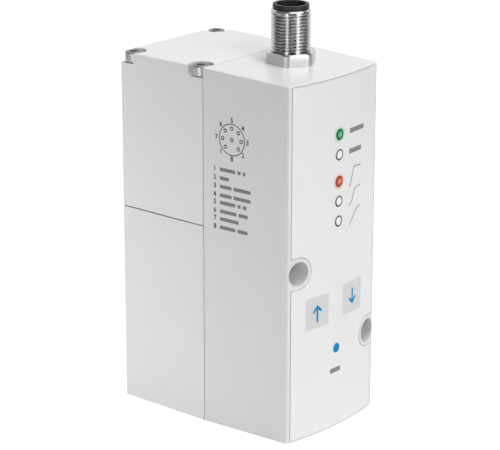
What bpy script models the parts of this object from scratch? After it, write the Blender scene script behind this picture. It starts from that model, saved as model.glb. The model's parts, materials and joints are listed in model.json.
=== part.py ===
# Electro pneumatic pressure regulator for flange mounting.
# A drafted electronics housing with a keypad foil stands in front of a valve body and a pilot housing.
# The frame: front panel towards -Y, round plug upwards, resting on the flat bottom at z = 0.
import math

import bmesh
import bpy
from mathutils import Matrix, Vector

MM = 0.001

# Outer form
BODY_WIDTH = 44.0 * MM
BODY_HEIGHT = 112.0 * MM
VALVE_DEPTH = 33.0 * MM
FRONT_DEPTH = 32.0 * MM
PANEL_BULGE = 2.3 * MM
SIDE_DRAFT = 1.0 * MM
TOP_DRAFT = 1.0 * MM
BOTTOM_DRAFT = 0.6 * MM
CORNER_RADIUS = 1.0 * MM
EDGE_RADIUS = 0.5 * MM
SPLIT_SHARE = 63.2 / 112.0
SEAM_GAP = 0.3 * MM
SPLIT_GAP = 0.4 * MM
WALL = 2.2 * MM

# Clearances between pieces that rest on each other, and of seals that slide in a bore
CLEARANCE = 0.3 * MM
SLIDING_CLEARANCE = 0.15 * MM
CUT_MARGIN = 2.0 * MM

# The two screw passages that run from the front panel to the flange face, as shares of the split's height
PASSAGE_INSET = 5.2 * MM
LEFT_PASSAGE_SHARE = 53.9 / 63.2
RIGHT_PASSAGE_SHARE = 26.7 / 63.2
TUNNEL_RADIUS = 3.75 * MM
TUNNEL_WALL = 1.0 * MM
MOUNT_BORE_RADIUS = 2.25 * MM
PAD_RADIUS = 4.85 * MM

# Keypad foil
FOIL_THICKNESS = 0.4 * MM
FOIL_SIDE_MARGIN = 1.1 * MM
FOIL_END_MARGIN = 0.35 * MM

# Indicator lamps, all on the panel's centre line, as shares of the body's height
LAMP_SHARES = {
    "power": 93.2 / 112.0,
    "error": 87.0 / 112.0,
    "mode_1": 78.8 / 112.0,
    "mode_2": 72.65 / 112.0,
    "mode_3": 66.5 / 112.0,
}
LENS_RADIUS = 1.35 * MM
LAMP_HOLE_RADIUS = 1.8 * MM
LENS_DOME = 0.45 * MM
LIGHT_PIPE_COLLAR_RADIUS = 2.4 * MM
LIGHT_PIPE_COLLAR = 0.8 * MM

# Keys: two arrow keys and an edit key, pushed through the foil; across, and as a share of the height
KEY_SHARES = {
    "up": (-9.0 * MM, 40.1 / 112.0),
    "down": (7.9 * MM, 39.9 / 112.0),
    "edit": (-0.1 * MM, 26.3 / 112.0),
}
KEY_PUSHER_RADIUS = 2.0 * MM
KEY_PUSHER_COLLAR_RADIUS = 2.9 * MM
KEY_PUSHER_COLLAR = 0.7 * MM
KEY_TIP_RADIUS = 1.2 * MM
KEY_TIP_ENGAGEMENT = 0.5 * MM
KEY_TRAVEL = 0.3 * MM
SWITCH_SIZE = 6.0 * MM
SWITCH_HEIGHT = 2.6 * MM

# Circuit board
BOARD_FRONT_GAP = 7.5 * MM
BOARD_THICKNESS = 1.6 * MM
BOARD_END_GAP = 1.5 * MM
LAMP_CHIP_SIZE = 2.0 * MM
LAMP_CHIP_HEIGHT = 0.8 * MM
CONTROLLER_SIZE = 10.0 * MM
CONTROLLER_HEIGHT = 1.4 * MM
CONTROLLER_SHARE = 53.0 / 112.0

# Round plug on top
PLUG_OFFSET_X = 2.2 * MM
PLUG_SETBACK = 18.3 * MM
THREAD_RADIUS = 6.0 * MM
SHELL_BORE_RADIUS = 5.2 * MM
HEX_ACROSS_FLATS = 14.0 * MM
HEX_CORNER_RADIUS = 7.65 * MM
HEX_HEIGHT = 3.5 * MM
HEX_CHAMFER = 0.4 * MM
SLEEVE_HEIGHT = 16.1 * MM
SLEEVE_CHAMFER = 0.5 * MM
STUB_RADIUS = 5.6 * MM
NUT_HEIGHT = 2.5 * MM
SEAL_BAND = 1.2 * MM
SEAL_SEAT_DEPTH = 0.9 * MM
INSERT_COLLAR_RADIUS = 5.45 * MM
INSERT_COLLAR_HEIGHT = 1.2 * MM
SOCKET_RADIUS = 4.4 * MM
SOCKET_DEPTH = 9.0 * MM
KEYWAY_WIDTH = 1.2 * MM
KEYWAY_DEPTH = 0.8 * MM
PIN_COUNT = 8
PIN_CIRCLE_RADIUS = 2.75 * MM
PIN_RADIUS = 0.4 * MM
PIN_STAND = 6.5 * MM
PIN_TAIL = 3.0 * MM

# Corner screws that hold the pilot housing on the valve body
CORNER_SCREW_INSET = 2.95 * MM
CORNER_FRONT_SETBACK = 3.1 * MM
CORNER_REAR_SETBACK = 2.9 * MM
CORNER_POCKET_RADIUS = 3.8 * MM
CORNER_HEAD_RADIUS = 2.75 * MM
CORNER_HEAD_HEIGHT = 3.0 * MM
CORNER_HEAD_SINK = 0.1 * MM
CORNER_SHAFT_RADIUS = 1.5 * MM
CORNER_GRIP = 5.5 * MM
CORNER_SOCKET_RADIUS = 1.45 * MM
CORNER_SOCKET_DEPTH = 1.5 * MM

# Screws from the flange face that hold the electronics housing; across, as shares of the body's width
LOWER_SCREW_SHARE = 14.0 / 44.0
LOWER_SCREW_HEIGHT = 4.6 * MM
UPPER_SCREW_SHARE = 11.0 / 44.0
UPPER_SCREW_DROP = 4.2 * MM
HOUSING_HEAD_RADIUS = 2.3 * MM
HOUSING_HEAD_HEIGHT = 2.0 * MM
HOUSING_SHAFT_RADIUS = 1.25 * MM
HOUSING_SOCKET_RADIUS = 1.2 * MM
HOUSING_SOCKET_DEPTH = 1.1 * MM
BOSS_RADIUS = 3.0 * MM
BOSS_LENGTH = 5.0 * MM
BOSS_FLOOR = 1.0 * MM

# Gasket between the electronics housing and the blocks behind it
GASKET_REBATE = 1.0 * MM
GASKET_THICKNESS = 0.8 * MM
GASKET_BAND = 1.3 * MM

# Ports on the flange face: their heights as shares of the split's height, their widths of their pitch
EXHAUST_PORT_SHARE = 12.0 / 63.2
PORT_PITCH_SHARE = 15.0 / 63.2
PORT_RADIUS_SHARE = 4.0 / 15.0
PORT_SEAL_SHARE = 6.6 / 15.0
PORT_SEAL_BAND = 1.4 * MM
PORT_SEAL_THICKNESS = 1.0 * MM

# Main valve, a stack on one upright axis
RETAINER_SEAT = 0.8 * MM
RETAINER_THICKNESS = 1.0 * MM
RETAINER_GROOVE_DEPTH = 0.9 * MM
RETAINER_BAND = 1.9 * MM
RETAINER_GAP_ANGLE = 50.0
PLUG_BORE_RADIUS = 10.0 * MM
PLUG_BASE_HEIGHT = 4.6 * MM
CHAMBER_RADIUS = 8.0 * MM
EXHAUST_CHAMBER_RADIUS = 5.5 * MM
EXHAUST_WINDOW_WIDTH = 6.0 * MM
GUIDE_WALL = 4.0 * MM
SEAT_RADIUS = 4.5 * MM
SEAT_LAND = 2.5 * MM
SEAT_RISE_SHARE = 6.0 / 15.0
OUTLET_CHAMBER_RADIUS = 6.5 * MM
OUTLET_CHAMBER_SHARE = 11.0 / 15.0
STEM_GUIDE_RADIUS = 7.2 * MM
STEM_GUIDE_HEIGHT = 3.0 * MM
FEEDBACK_HOLE_RADIUS = 0.8 * MM
FEEDBACK_HOLE_OFFSET = 4.6 * MM
PISTON_BORE_RADIUS = 12.5 * MM
PISTON_HEIGHT = 5.0 * MM
PISTON_TOP_GAP = 4.0 * MM
PISTON_SEAL_HEIGHT = 1.8 * MM
PISTON_SEAL_DEPTH = 1.4 * MM
STEM_RADIUS = 1.9 * MM
POPPET_RADIUS = 6.2 * MM
POPPET_HEAD = 2.5 * MM
POPPET_TAIL_RADIUS = 3.2 * MM
POPPET_VENT_RADIUS = 1.2 * MM
POPPET_TAIL_SHARE = 6.0 / 15.0
POPPET_SPRING_WIRE = 0.5 * MM
POPPET_SPRING_TURNS = 5
PLUG_SEAL_HEIGHT = 1.8 * MM
PLUG_SEAL_DEPTH = 1.2 * MM

# Pilot housing and its two pilot valves
PILOT_CHAMBER_RADIUS = 11.0 * MM
PILOT_CHAMBER_HEIGHT = 2.6 * MM
BODY_SEAL_RADIUS = 14.0 * MM
BODY_SEAL_SECTION = 0.75 * MM
VALVE_BAY_WIDTH = 32.0 * MM
VALVE_BAY_DEPTH = 27.0 * MM
VALVE_BAY_FLOOR = 10.6 * MM
VALVE_BAY_ROOF = 7.0 * MM
PILOT_SPACING = 16.0 * MM
PILOT_SETBACK = 14.0 * MM
PILOT_BASE_RADIUS = 6.8 * MM
PILOT_BASE_HEIGHT = 5.0 * MM
PILOT_TUBE_RADIUS = 3.4 * MM
PILOT_TUBE_WALL = 0.6 * MM
PILOT_TUBE_SHARE = 18.0 / 31.0
PILOT_CORE_SHARE = 4.5 / 18.0
PILOT_NOZZLE_RADIUS = 0.6 * MM
PILOT_PASSAGE_RADIUS = 0.8 * MM
ARMATURE_SHARE = 9.7 / 18.0
PILOT_SPRING_SHARE = 0.25 / 18.0
PILOT_SPRING_TURNS = 3
COIL_RADIUS = 7.0 * MM
COIL_SHARE = 15.4 / 18.0
COIL_FLANGE = 0.8 * MM
WINDING_DEPTH = 0.5 * MM

# Pressure sensors in the front faces of the two blocks
SENSOR_RADIUS = 2.7 * MM
SENSOR_SEAT_DEPTH = 4.0 * MM
SENSOR_STAND = 4.0 * MM
SENSOR_CAN_RADIUS = 3.6 * MM
PILOT_SENSOR_RISE = 6.6 * MM

# Facets
VISIBLE_STEPS = 24
ROUND_STEPS = 18
SMALL_STEPS = 10
TINY_STEPS = 6
ARC_STEPS = 12
FILLET_STEPS = 3
SHARP_ANGLE = math.radians(35.0)

# Places that follow from the sizes above
SEAM_Y = (FRONT_DEPTH + PANEL_BULGE - VALVE_DEPTH) / 2
FRONT_EDGE_Y = SEAM_Y - FRONT_DEPTH
PANEL_Y = FRONT_EDGE_Y - PANEL_BULGE
HOUSING_BACK_Y = SEAM_Y - SEAM_GAP
REAR_Y = SEAM_Y + VALVE_DEPTH
VALVE_AXIS_Y = SEAM_Y + VALVE_DEPTH / 2
PANEL_HALF = BODY_WIDTH / 2 - SIDE_DRAFT
PANEL_RADIUS = (PANEL_HALF ** 2 + PANEL_BULGE ** 2) / (2 * PANEL_BULGE)
SPLIT_HEIGHT = BODY_HEIGHT * SPLIT_SHARE
VALVE_TOP = SPLIT_HEIGHT - SPLIT_GAP / 2
PILOT_BOTTOM = SPLIT_HEIGHT + SPLIT_GAP / 2
PASSAGES = (
    (-(BODY_WIDTH / 2 - PASSAGE_INSET), SPLIT_HEIGHT * LEFT_PASSAGE_SHARE),
    (BODY_WIDTH / 2 - PASSAGE_INSET, SPLIT_HEIGHT * RIGHT_PASSAGE_SHARE),
)
RECESS_DEPTH = FOIL_THICKNESS + CLEARANCE
BOARD_FRONT_Y = FRONT_EDGE_Y + BOARD_FRONT_GAP
LAMP_HEIGHTS = {name: BODY_HEIGHT * share for name, share in LAMP_SHARES.items()}
KEY_PLACES = {name: (x, BODY_HEIGHT * share) for name, (x, share) in KEY_SHARES.items()}
LOWER_SCREW_X = BODY_WIDTH * LOWER_SCREW_SHARE
UPPER_SCREW_X = BODY_WIDTH * UPPER_SCREW_SHARE
HOUSING_SCREWS = (
    ("lower_left", -LOWER_SCREW_X, LOWER_SCREW_HEIGHT),
    ("lower_right", LOWER_SCREW_X, LOWER_SCREW_HEIGHT),
    ("upper_left", -UPPER_SCREW_X, BODY_HEIGHT - UPPER_SCREW_DROP),
    ("upper_right", UPPER_SCREW_X, BODY_HEIGHT - UPPER_SCREW_DROP),
)
EXHAUST_PORT_HEIGHT = SPLIT_HEIGHT * EXHAUST_PORT_SHARE
PORT_PITCH = SPLIT_HEIGHT * PORT_PITCH_SHARE
PORT_RADIUS = PORT_PITCH * PORT_RADIUS_SHARE
PORT_SEAL_OUTER = PORT_PITCH * PORT_SEAL_SHARE
PORT_SEAL_INNER = PORT_SEAL_OUTER - PORT_SEAL_BAND
PORT_HEIGHTS = {
    "exhaust": EXHAUST_PORT_HEIGHT,
    "supply": EXHAUST_PORT_HEIGHT + PORT_PITCH,
    "outlet": EXHAUST_PORT_HEIGHT + 2 * PORT_PITCH,
}

# Heights in the main valve's stack
PLUG_BOTTOM = RETAINER_SEAT + RETAINER_THICKNESS + CLEARANCE
PLUG_SHOULDER = PLUG_BOTTOM + PLUG_BASE_HEIGHT
GUIDE_BOTTOM = EXHAUST_PORT_HEIGHT + PORT_RADIUS
GUIDE_TOP = GUIDE_BOTTOM + GUIDE_WALL
SEAT_HEIGHT = PORT_HEIGHTS["supply"] + PORT_PITCH * SEAT_RISE_SHARE
OUTLET_FLOOR = SEAT_HEIGHT + SEAT_LAND
STEM_GUIDE_SEAT = OUTLET_FLOOR + PORT_PITCH * OUTLET_CHAMBER_SHARE
PISTON_BORE_FLOOR = STEM_GUIDE_SEAT + STEM_GUIDE_HEIGHT + CLEARANCE
PISTON_TOP = VALVE_TOP - PISTON_TOP_GAP
POPPET_TOP = SEAT_HEIGHT - CLEARANCE

# Heights in the pilot housing
BAY_FLOOR = PILOT_BOTTOM + VALVE_BAY_FLOOR
BAY_TOP = BODY_HEIGHT - VALVE_BAY_ROOF
PILOT_TUBE_HEIGHT = (BAY_TOP - BAY_FLOOR) * PILOT_TUBE_SHARE
SENSOR_HEIGHTS = {
    "outlet": PORT_HEIGHTS["outlet"],
    "pilot": PILOT_BOTTOM + PILOT_SENSOR_RISE,
}

WHITE_PLASTIC = ("white_plastic", (0.80, 0.81, 0.82), 0.45, 0.0)
WHITE_FOIL = ("white_foil", (0.76, 0.77, 0.78), 0.35, 0.0)
PAINTED_METAL = ("painted_metal", (0.76, 0.77, 0.78), 0.5, 0.0)
BLACK_PLASTIC = ("black_plastic", (0.02, 0.02, 0.022), 0.5, 0.0)
BLACK_RUBBER = ("black_rubber", (0.015, 0.015, 0.016), 0.75, 0.0)
NICKEL = ("nickel_plated_brass", (0.62, 0.61, 0.59), 0.22, 1.0)
STEEL = ("steel", (0.55, 0.55, 0.56), 0.3, 1.0)
BRASS = ("brass", (0.72, 0.55, 0.28), 0.3, 1.0)
GOLD = ("gold_plating", (0.83, 0.64, 0.28), 0.2, 1.0)
ALUMINIUM = ("aluminium", (0.68, 0.69, 0.70), 0.35, 1.0)
COPPER = ("copper_winding", (0.55, 0.25, 0.12), 0.4, 1.0)
BOARD_GREEN = ("board_laminate", (0.02, 0.16, 0.07), 0.4, 0.0)
LENS_GREEN = ("green_lens", (0.03, 0.33, 0.14), 0.2, 0.0)
LENS_RED = ("red_lens", (0.75, 0.14, 0.08), 0.2, 0.0)
LENS_CLEAR = ("clear_lens", (0.70, 0.71, 0.72), 0.2, 0.0)

PARTS = None
CUTTERS = None


def empty_scene():
    for item in list(bpy.data.objects):
        bpy.data.objects.remove(item, do_unlink=True)


def new_collection(name):
    collection = bpy.data.collections.new(name)
    bpy.context.scene.collection.children.link(collection)
    return collection


def new_material(finish):
    name, colour, roughness, metallic = finish
    known = bpy.data.materials.get(name)
    if known:
        return known
    material = bpy.data.materials.new(name)
    material.use_nodes = True
    shader = material.node_tree.nodes["Principled BSDF"]
    shader.inputs["Base Color"].default_value = (*colour, 1.0)
    shader.inputs["Roughness"].default_value = roughness
    shader.inputs["Metallic"].default_value = metallic
    material.diffuse_color = (*colour, 1.0)
    return material


# A finish of None makes a cutter
def new_object(name, mesh, finish, parent=None):
    mesh.shade_smooth()
    mesh.set_sharp_from_angle(angle=SHARP_ANGLE)
    item = bpy.data.objects.new(name, mesh)
    if finish is None:
        CUTTERS.objects.link(item)
        item.display_type = "WIRE"
        item.hide_render = True
    else:
        PARTS.objects.link(item)
        mesh.materials.clear()
        mesh.materials.append(new_material(finish))
    item.parent = parent
    return item


def new_frame(name, location, rotation=(0.0, 0.0, 0.0)):
    frame = bpy.data.objects.new(name, None)
    frame.location = location
    frame.rotation_euler = rotation
    frame.empty_display_size = 5 * MM
    PARTS.objects.link(frame)
    return frame


def mesh_from_bmesh(name, form):
    bmesh.ops.recalc_face_normals(form, faces=form.faces)
    mesh = bpy.data.meshes.new(name)
    form.to_mesh(mesh)
    form.free()
    return mesh


def round_edges(form, radius, chosen):
    edges = [edge for edge in form.edges if chosen((edge.verts[0].co + edge.verts[1].co) / 2)]
    bmesh.ops.bevel(form, geom=edges, offset=radius, segments=2, profile=0.5, affect="EDGES")


# A box between two corners; chosen says which edges are rounded, from their middle points
def box(name, low, high, finish, parent=None, radius=0.0, chosen=None):
    size = Vector(high) - Vector(low)
    form = bmesh.new()
    bmesh.ops.create_cube(form, size=1.0)
    bmesh.ops.scale(form, vec=size, verts=form.verts)
    bmesh.ops.translate(form, vec=(Vector(high) + Vector(low)) / 2, verts=form.verts)
    if chosen:
        round_edges(form, radius, chosen)
    return new_object(name, mesh_from_bmesh(name, form), finish, parent)


# A mesh of what an object's modifiers make of it, with loose caps welded
def evaluated_mesh(item, name):
    depsgraph = bpy.context.evaluated_depsgraph_get()
    mesh = bpy.data.meshes.new_from_object(item.evaluated_get(depsgraph))
    mesh.name = name
    form = bmesh.new()
    form.from_mesh(mesh)
    bmesh.ops.remove_doubles(form, verts=form.verts, dist=0.00001)
    form.to_mesh(mesh)
    form.free()
    return mesh


# A turned piece about its own Z axis; the profile of (radius, height) runs down its outer side
def turned(name, profile, finish, parent=None, location=(0, 0, 0), rotation=(0, 0, 0), steps=ROUND_STEPS):
    mesh = bpy.data.meshes.new(name)
    edges = [(index, index + 1) for index in range(len(profile) - 1)]
    if profile[0][0] > 0:
        edges.append((len(profile) - 1, 0))
    mesh.from_pydata([(radius, 0.0, height) for radius, height in profile], edges, [])
    blank = bpy.data.objects.new(name + "_profile", mesh)
    PARTS.objects.link(blank)
    screw = blank.modifiers.new("turn", "SCREW")
    screw.axis = "Z"
    screw.steps = steps
    screw.render_steps = steps
    screw.use_merge_vertices = True
    screw.merge_threshold = 0.00001
    solid = evaluated_mesh(blank, name)
    bpy.data.objects.remove(blank, do_unlink=True)
    item = new_object(name, solid, finish, parent)
    item.location = location
    item.rotation_euler = rotation
    return item


def cylinder(name, radius, low, high, finish, parent=None, location=(0, 0, 0), rotation=(0, 0, 0),
             steps=ROUND_STEPS):
    profile = [(0, high), (radius, high), (radius, low), (0, low)]
    return turned(name, profile, finish, parent, location, rotation, steps)


def ring(name, inner, outer, low, high, finish, parent=None, location=(0, 0, 0), rotation=(0, 0, 0),
         steps=ROUND_STEPS):
    profile = [(inner, high), (outer, high), (outer, low), (inner, low)]
    return turned(name, profile, finish, parent, location, rotation, steps)


# Turned pieces that point along Y have their own Z axis turned to the front or the rear
TO_FRONT = (math.pi / 2, 0.0, 0.0)
TO_REAR = (-math.pi / 2, 0.0, 0.0)


# A cylinder along Y between two depths
def cross_cylinder(name, radius, x, z, front, back, finish, steps=ROUND_STEPS):
    return cylinder(name, radius, -back, -front, finish, location=(x, 0, z), rotation=TO_FRONT, steps=steps)


# Points of an outline with a fillet at each corner that has a radius
def filleted(corners):
    points = []
    for index, (x, y, radius) in enumerate(corners):
        if radius <= 0:
            points.append((x, y))
            continue
        corner = Vector((x, y))
        before = (Vector(corners[index - 1][:2]) - corner).normalized()
        after = (Vector(corners[(index + 1) % len(corners)][:2]) - corner).normalized()
        half = before.angle(after) / 2
        centre = corner + (before + after).normalized() * radius / math.sin(half)
        start = corner + before * radius / math.tan(half) - centre
        sweep = start.angle_signed(corner + after * radius / math.tan(half) - centre)
        for step in range(FILLET_STEPS + 1):
            turn = Matrix.Rotation(-sweep * step / FILLET_STEPS, 2)
            points.append(tuple(centre + turn @ start))
    return points


# A plate of a flat outline, from low to high along its own Z axis
def plate(name, points, low, high, finish, parent=None, rotation=(0, 0, 0)):
    curve = bpy.data.curves.new(name, "CURVE")
    curve.dimensions = "2D"
    curve.fill_mode = "BOTH"
    curve.extrude = (high - low) / 2
    spline = curve.splines.new("POLY")
    spline.points.add(len(points) - 1)
    for point, (x, y) in zip(spline.points, points):
        point.co = (x, y, 0.0, 1.0)
    spline.use_cyclic_u = True
    blank = bpy.data.objects.new(name + "_outline", curve)
    PARTS.objects.link(blank)
    mesh = evaluated_mesh(blank, name)
    bpy.data.objects.remove(blank, do_unlink=True)
    form = bmesh.new()
    form.from_mesh(mesh)
    bmesh.ops.translate(form, vec=(0, 0, (high + low) / 2), verts=form.verts)
    bmesh.ops.dissolve_limit(form, angle_limit=0.0001, verts=form.verts, edges=form.edges)
    item = new_object(name, mesh_from_bmesh(name, form), finish, parent)
    item.rotation_euler = rotation
    return item


# A coil spring about its frame's Z axis
def spring(name, coil_radius, wire_radius, low, high, turns, steps, finish, parent):
    curve = bpy.data.curves.new(name, "CURVE")
    curve.dimensions = "3D"
    curve.bevel_depth = wire_radius
    curve.bevel_resolution = 1
    curve.use_fill_caps = True
    spline = curve.splines.new("POLY")
    count = turns * steps + 1
    spline.points.add(count - 1)
    for index, point in enumerate(spline.points):
        angle = 2 * math.pi * index / steps
        height = low + wire_radius + (high - low - 2 * wire_radius) * index / (count - 1)
        point.co = (coil_radius * math.cos(angle), coil_radius * math.sin(angle), height, 1.0)
    blank = bpy.data.objects.new(name + "_wire", curve)
    PARTS.objects.link(blank)
    mesh = evaluated_mesh(blank, name)
    bpy.data.objects.remove(blank, do_unlink=True)
    return new_object(name, mesh, finish, parent)


def combine(item, other, operation):
    change = item.modifiers.new(other.name, "BOOLEAN")
    change.operation = operation
    change.solver = "EXACT"
    change.object = other


def cut(item, *cutters):
    for cutter in cutters:
        combine(item, cutter, "DIFFERENCE")


# Cutters that don't meet, as one
def joined(name, cutters):
    bpy.context.view_layer.update()
    form = bmesh.new()
    for cutter in cutters:
        cutter.data.transform(cutter.matrix_world)
        form.from_mesh(cutter.data)
        bpy.data.objects.remove(cutter, do_unlink=True)
    return new_object(name, mesh_from_bmesh(name, form), None)


# Depth of the curved front panel at x, or of a surface inside it
def panel_y(x, depth=0.0):
    return PANEL_Y + PANEL_RADIUS - math.sqrt((PANEL_RADIUS - depth) ** 2 - x ** 2)


def panel_arc(half, depth):
    return [(x, panel_y(x, depth)) for x in
            [half - 2 * half * step / ARC_STEPS for step in range(ARC_STEPS + 1)]]


# Share of the front unit's draft that is reached at depth y
def draft_share(y):
    return (SEAM_Y - y) / FRONT_DEPTH


def top_height(y):
    return BODY_HEIGHT - TOP_DRAFT * draft_share(y)


def bottom_height(y):
    return BOTTOM_DRAFT * draft_share(y)


def half_width(y):
    return BODY_WIDTH / 2 - SIDE_DRAFT * draft_share(y)


# The front unit's outer form, or the same form inset on every side but the back
def drafted_block(name, inset, back, finish, corner_radius=0.0, edge_radius=0.0):
    half = PANEL_HALF - inset
    arc = panel_arc(half, inset)
    corners = [(x, y, 0.0) for x, y in arc]
    corners[0] = (*arc[0], corner_radius)
    corners[-1] = (*arc[-1], corner_radius)
    side = half_width(back) - inset
    outline = [(side, back, 0.0)] + corners + [(-side, back, 0.0)]
    block = plate(name, filleted(outline), -CUT_MARGIN, BODY_HEIGHT + CUT_MARGIN, finish)
    form = bmesh.new()
    form.from_mesh(block.data)
    trims = (
        (Vector((0, SEAM_Y, BODY_HEIGHT - inset)), Vector((0, -TOP_DRAFT, FRONT_DEPTH))),
        (Vector((0, SEAM_Y, inset)), Vector((0, -BOTTOM_DRAFT, -FRONT_DEPTH))),
    )
    for place, normal in trims:
        geometry = form.verts[:] + form.edges[:] + form.faces[:]
        bmesh.ops.bisect_plane(form, geom=geometry, plane_co=place, plane_no=normal, clear_outer=True)
        bmesh.ops.holes_fill(form, edges=[edge for edge in form.edges if edge.is_boundary])
    bmesh.ops.recalc_face_normals(form, faces=form.faces)
    if edge_radius > 0:
        near = edge_radius / 2
        round_edges(form, edge_radius, lambda middle: middle.y < back - near and (
            middle.z > top_height(middle.y) - near or middle.z < bottom_height(middle.y) + near))
    form.to_mesh(block.data)
    form.free()
    return block


# A slab of the front panel between two depths behind its surface
def panel_slab(name, half, front_depth, back_depth, low, high, finish):
    front = panel_arc(half, front_depth)
    back = panel_arc(half, back_depth)
    return plate(name, front + back[::-1], low, high, finish)


# The pad round a screw passage: a half round towards the middle, straight out to the side
def passage_outline(x, z, radius):
    side = math.copysign(1.0, x)
    reach = side * (BODY_WIDTH / 2 + CUT_MARGIN)
    steps = VISIBLE_STEPS // 2
    turn = [math.pi / 2 + math.pi * step / steps for step in range(steps + 1)]
    inner = [(x + side * radius * math.cos(angle), z + radius * math.sin(angle)) for angle in turn]
    return [(reach, z + radius)] + inner + [(reach, z - radius)]


def passage_block(name, x, z, radius, front, back):
    return plate(name, passage_outline(x, z, radius), -back, -front, None, rotation=TO_FRONT)


def lamp_holes(name, back):
    holes = [cross_cylinder(f"{name}_{lamp}", LAMP_HOLE_RADIUS, 0.0, z, PANEL_Y - CUT_MARGIN, back, None,
                            VISIBLE_STEPS // 2) for lamp, z in LAMP_HEIGHTS.items()]
    return joined(name, holes)


def add_electronics_housing():
    housing = drafted_block("electronics_housing", 0.0, HOUSING_BACK_Y, WHITE_PLASTIC, CORNER_RADIUS,
                            EDGE_RADIUS)
    cavity = drafted_block("housing_cavity", WALL, SEAM_Y + CUT_MARGIN, None)
    cavity_back = SEAM_Y + 2 * CUT_MARGIN
    for index, (x, z) in enumerate(PASSAGES):
        tube = cross_cylinder(f"tunnel_tube_{index}", TUNNEL_RADIUS + TUNNEL_WALL, x, z,
                              PANEL_Y - CUT_MARGIN, cavity_back, None)
        cut(cavity, tube)
    for name, x, z in HOUSING_SCREWS:
        boss = cross_cylinder("boss_" + name, BOSS_RADIUS, x, z, HOUSING_BACK_Y - BOSS_LENGTH,
                              cavity_back, None, SMALL_STEPS)
        cut(cavity, boss)
    rebate_half = BODY_WIDTH / 2 - WALL + GASKET_REBATE
    rebate_front = HOUSING_BACK_Y - GASKET_THICKNESS
    rebate = box("gasket_rebate",
                 (-rebate_half, rebate_front, WALL - GASKET_REBATE),
                 (rebate_half, SEAM_Y + CUT_MARGIN, BODY_HEIGHT - WALL + GASKET_REBATE), None)
    cut(housing, cavity, rebate)

    recess = panel_slab("foil_recess", PANEL_HALF - FOIL_SIDE_MARGIN, -CUT_MARGIN, RECESS_DEPTH,
                        bottom_height(FRONT_EDGE_Y) + FOIL_END_MARGIN,
                        top_height(FRONT_EDGE_Y) - FOIL_END_MARGIN, None)
    for index, (x, z) in enumerate(PASSAGES):
        cut(recess, passage_block(f"pad_{index}", x, z, PAD_RADIUS, PANEL_Y - 2 * CUT_MARGIN,
                                  FRONT_EDGE_Y + CUT_MARGIN))
    cut(housing, recess)
    for index, (x, z) in enumerate(PASSAGES):
        cut(housing, cross_cylinder(f"tunnel_{index}", TUNNEL_RADIUS, x, z, PANEL_Y - CUT_MARGIN,
                                    SEAM_Y + CUT_MARGIN, None, VISIBLE_STEPS))
    boss_holes = [cross_cylinder("boss_hole_" + name, HOUSING_SHAFT_RADIUS + CLEARANCE, x, z,
                                 HOUSING_BACK_Y - BOSS_LENGTH + BOSS_FLOOR, SEAM_Y + CUT_MARGIN, None,
                                 SMALL_STEPS) for name, x, z in HOUSING_SCREWS]
    wall_back = FRONT_EDGE_Y + WALL + CUT_MARGIN
    key_holes = [cross_cylinder("key_hole_" + name, KEY_PUSHER_RADIUS + CLEARANCE, x, z,
                                PANEL_Y - CUT_MARGIN, wall_back, None, SMALL_STEPS)
                 for name, (x, z) in KEY_PLACES.items()]
    cut(housing, joined("boss_holes", boss_holes), joined("key_holes", key_holes),
        lamp_holes("housing_lamp_holes", wall_back))
    seat_profile = [
        (0, BODY_HEIGHT + CUT_MARGIN),
        (PLUG_SEAT_RADIUS, BODY_HEIGHT + CUT_MARGIN),
        (PLUG_SEAT_RADIUS, PLUG_SEAT),
        (STUB_RADIUS + CLEARANCE + SEAL_BAND + CLEARANCE, PLUG_SEAT),
        (STUB_RADIUS + CLEARANCE + SEAL_BAND + CLEARANCE, PLUG_SEAT - SEAL_SEAT_DEPTH),
        (STUB_RADIUS + CLEARANCE, PLUG_SEAT - SEAL_SEAT_DEPTH),
        (STUB_RADIUS + CLEARANCE, BODY_HEIGHT - WALL - TOP_DRAFT - CUT_MARGIN),
        (0, BODY_HEIGHT - WALL - TOP_DRAFT - CUT_MARGIN),
    ]
    cut(housing, turned("plug_seat", seat_profile, None, location=(PLUG_OFFSET_X, PLUG_Y, 0)))


def add_front_foil():
    foil = panel_slab("front_foil", PANEL_HALF - FOIL_SIDE_MARGIN - CLEARANCE, 0.0, FOIL_THICKNESS,
                      bottom_height(FRONT_EDGE_Y) + FOIL_END_MARGIN + CLEARANCE,
                      top_height(FRONT_EDGE_Y) - FOIL_END_MARGIN - CLEARANCE, WHITE_FOIL)
    for index, (x, z) in enumerate(PASSAGES):
        cut(foil, passage_block(f"foil_notch_{index}", x, z, PAD_RADIUS + CLEARANCE,
                                PANEL_Y - CUT_MARGIN, FRONT_EDGE_Y + CUT_MARGIN))
    cut(foil, lamp_holes("foil_lamp_holes", FRONT_EDGE_Y))


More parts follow.
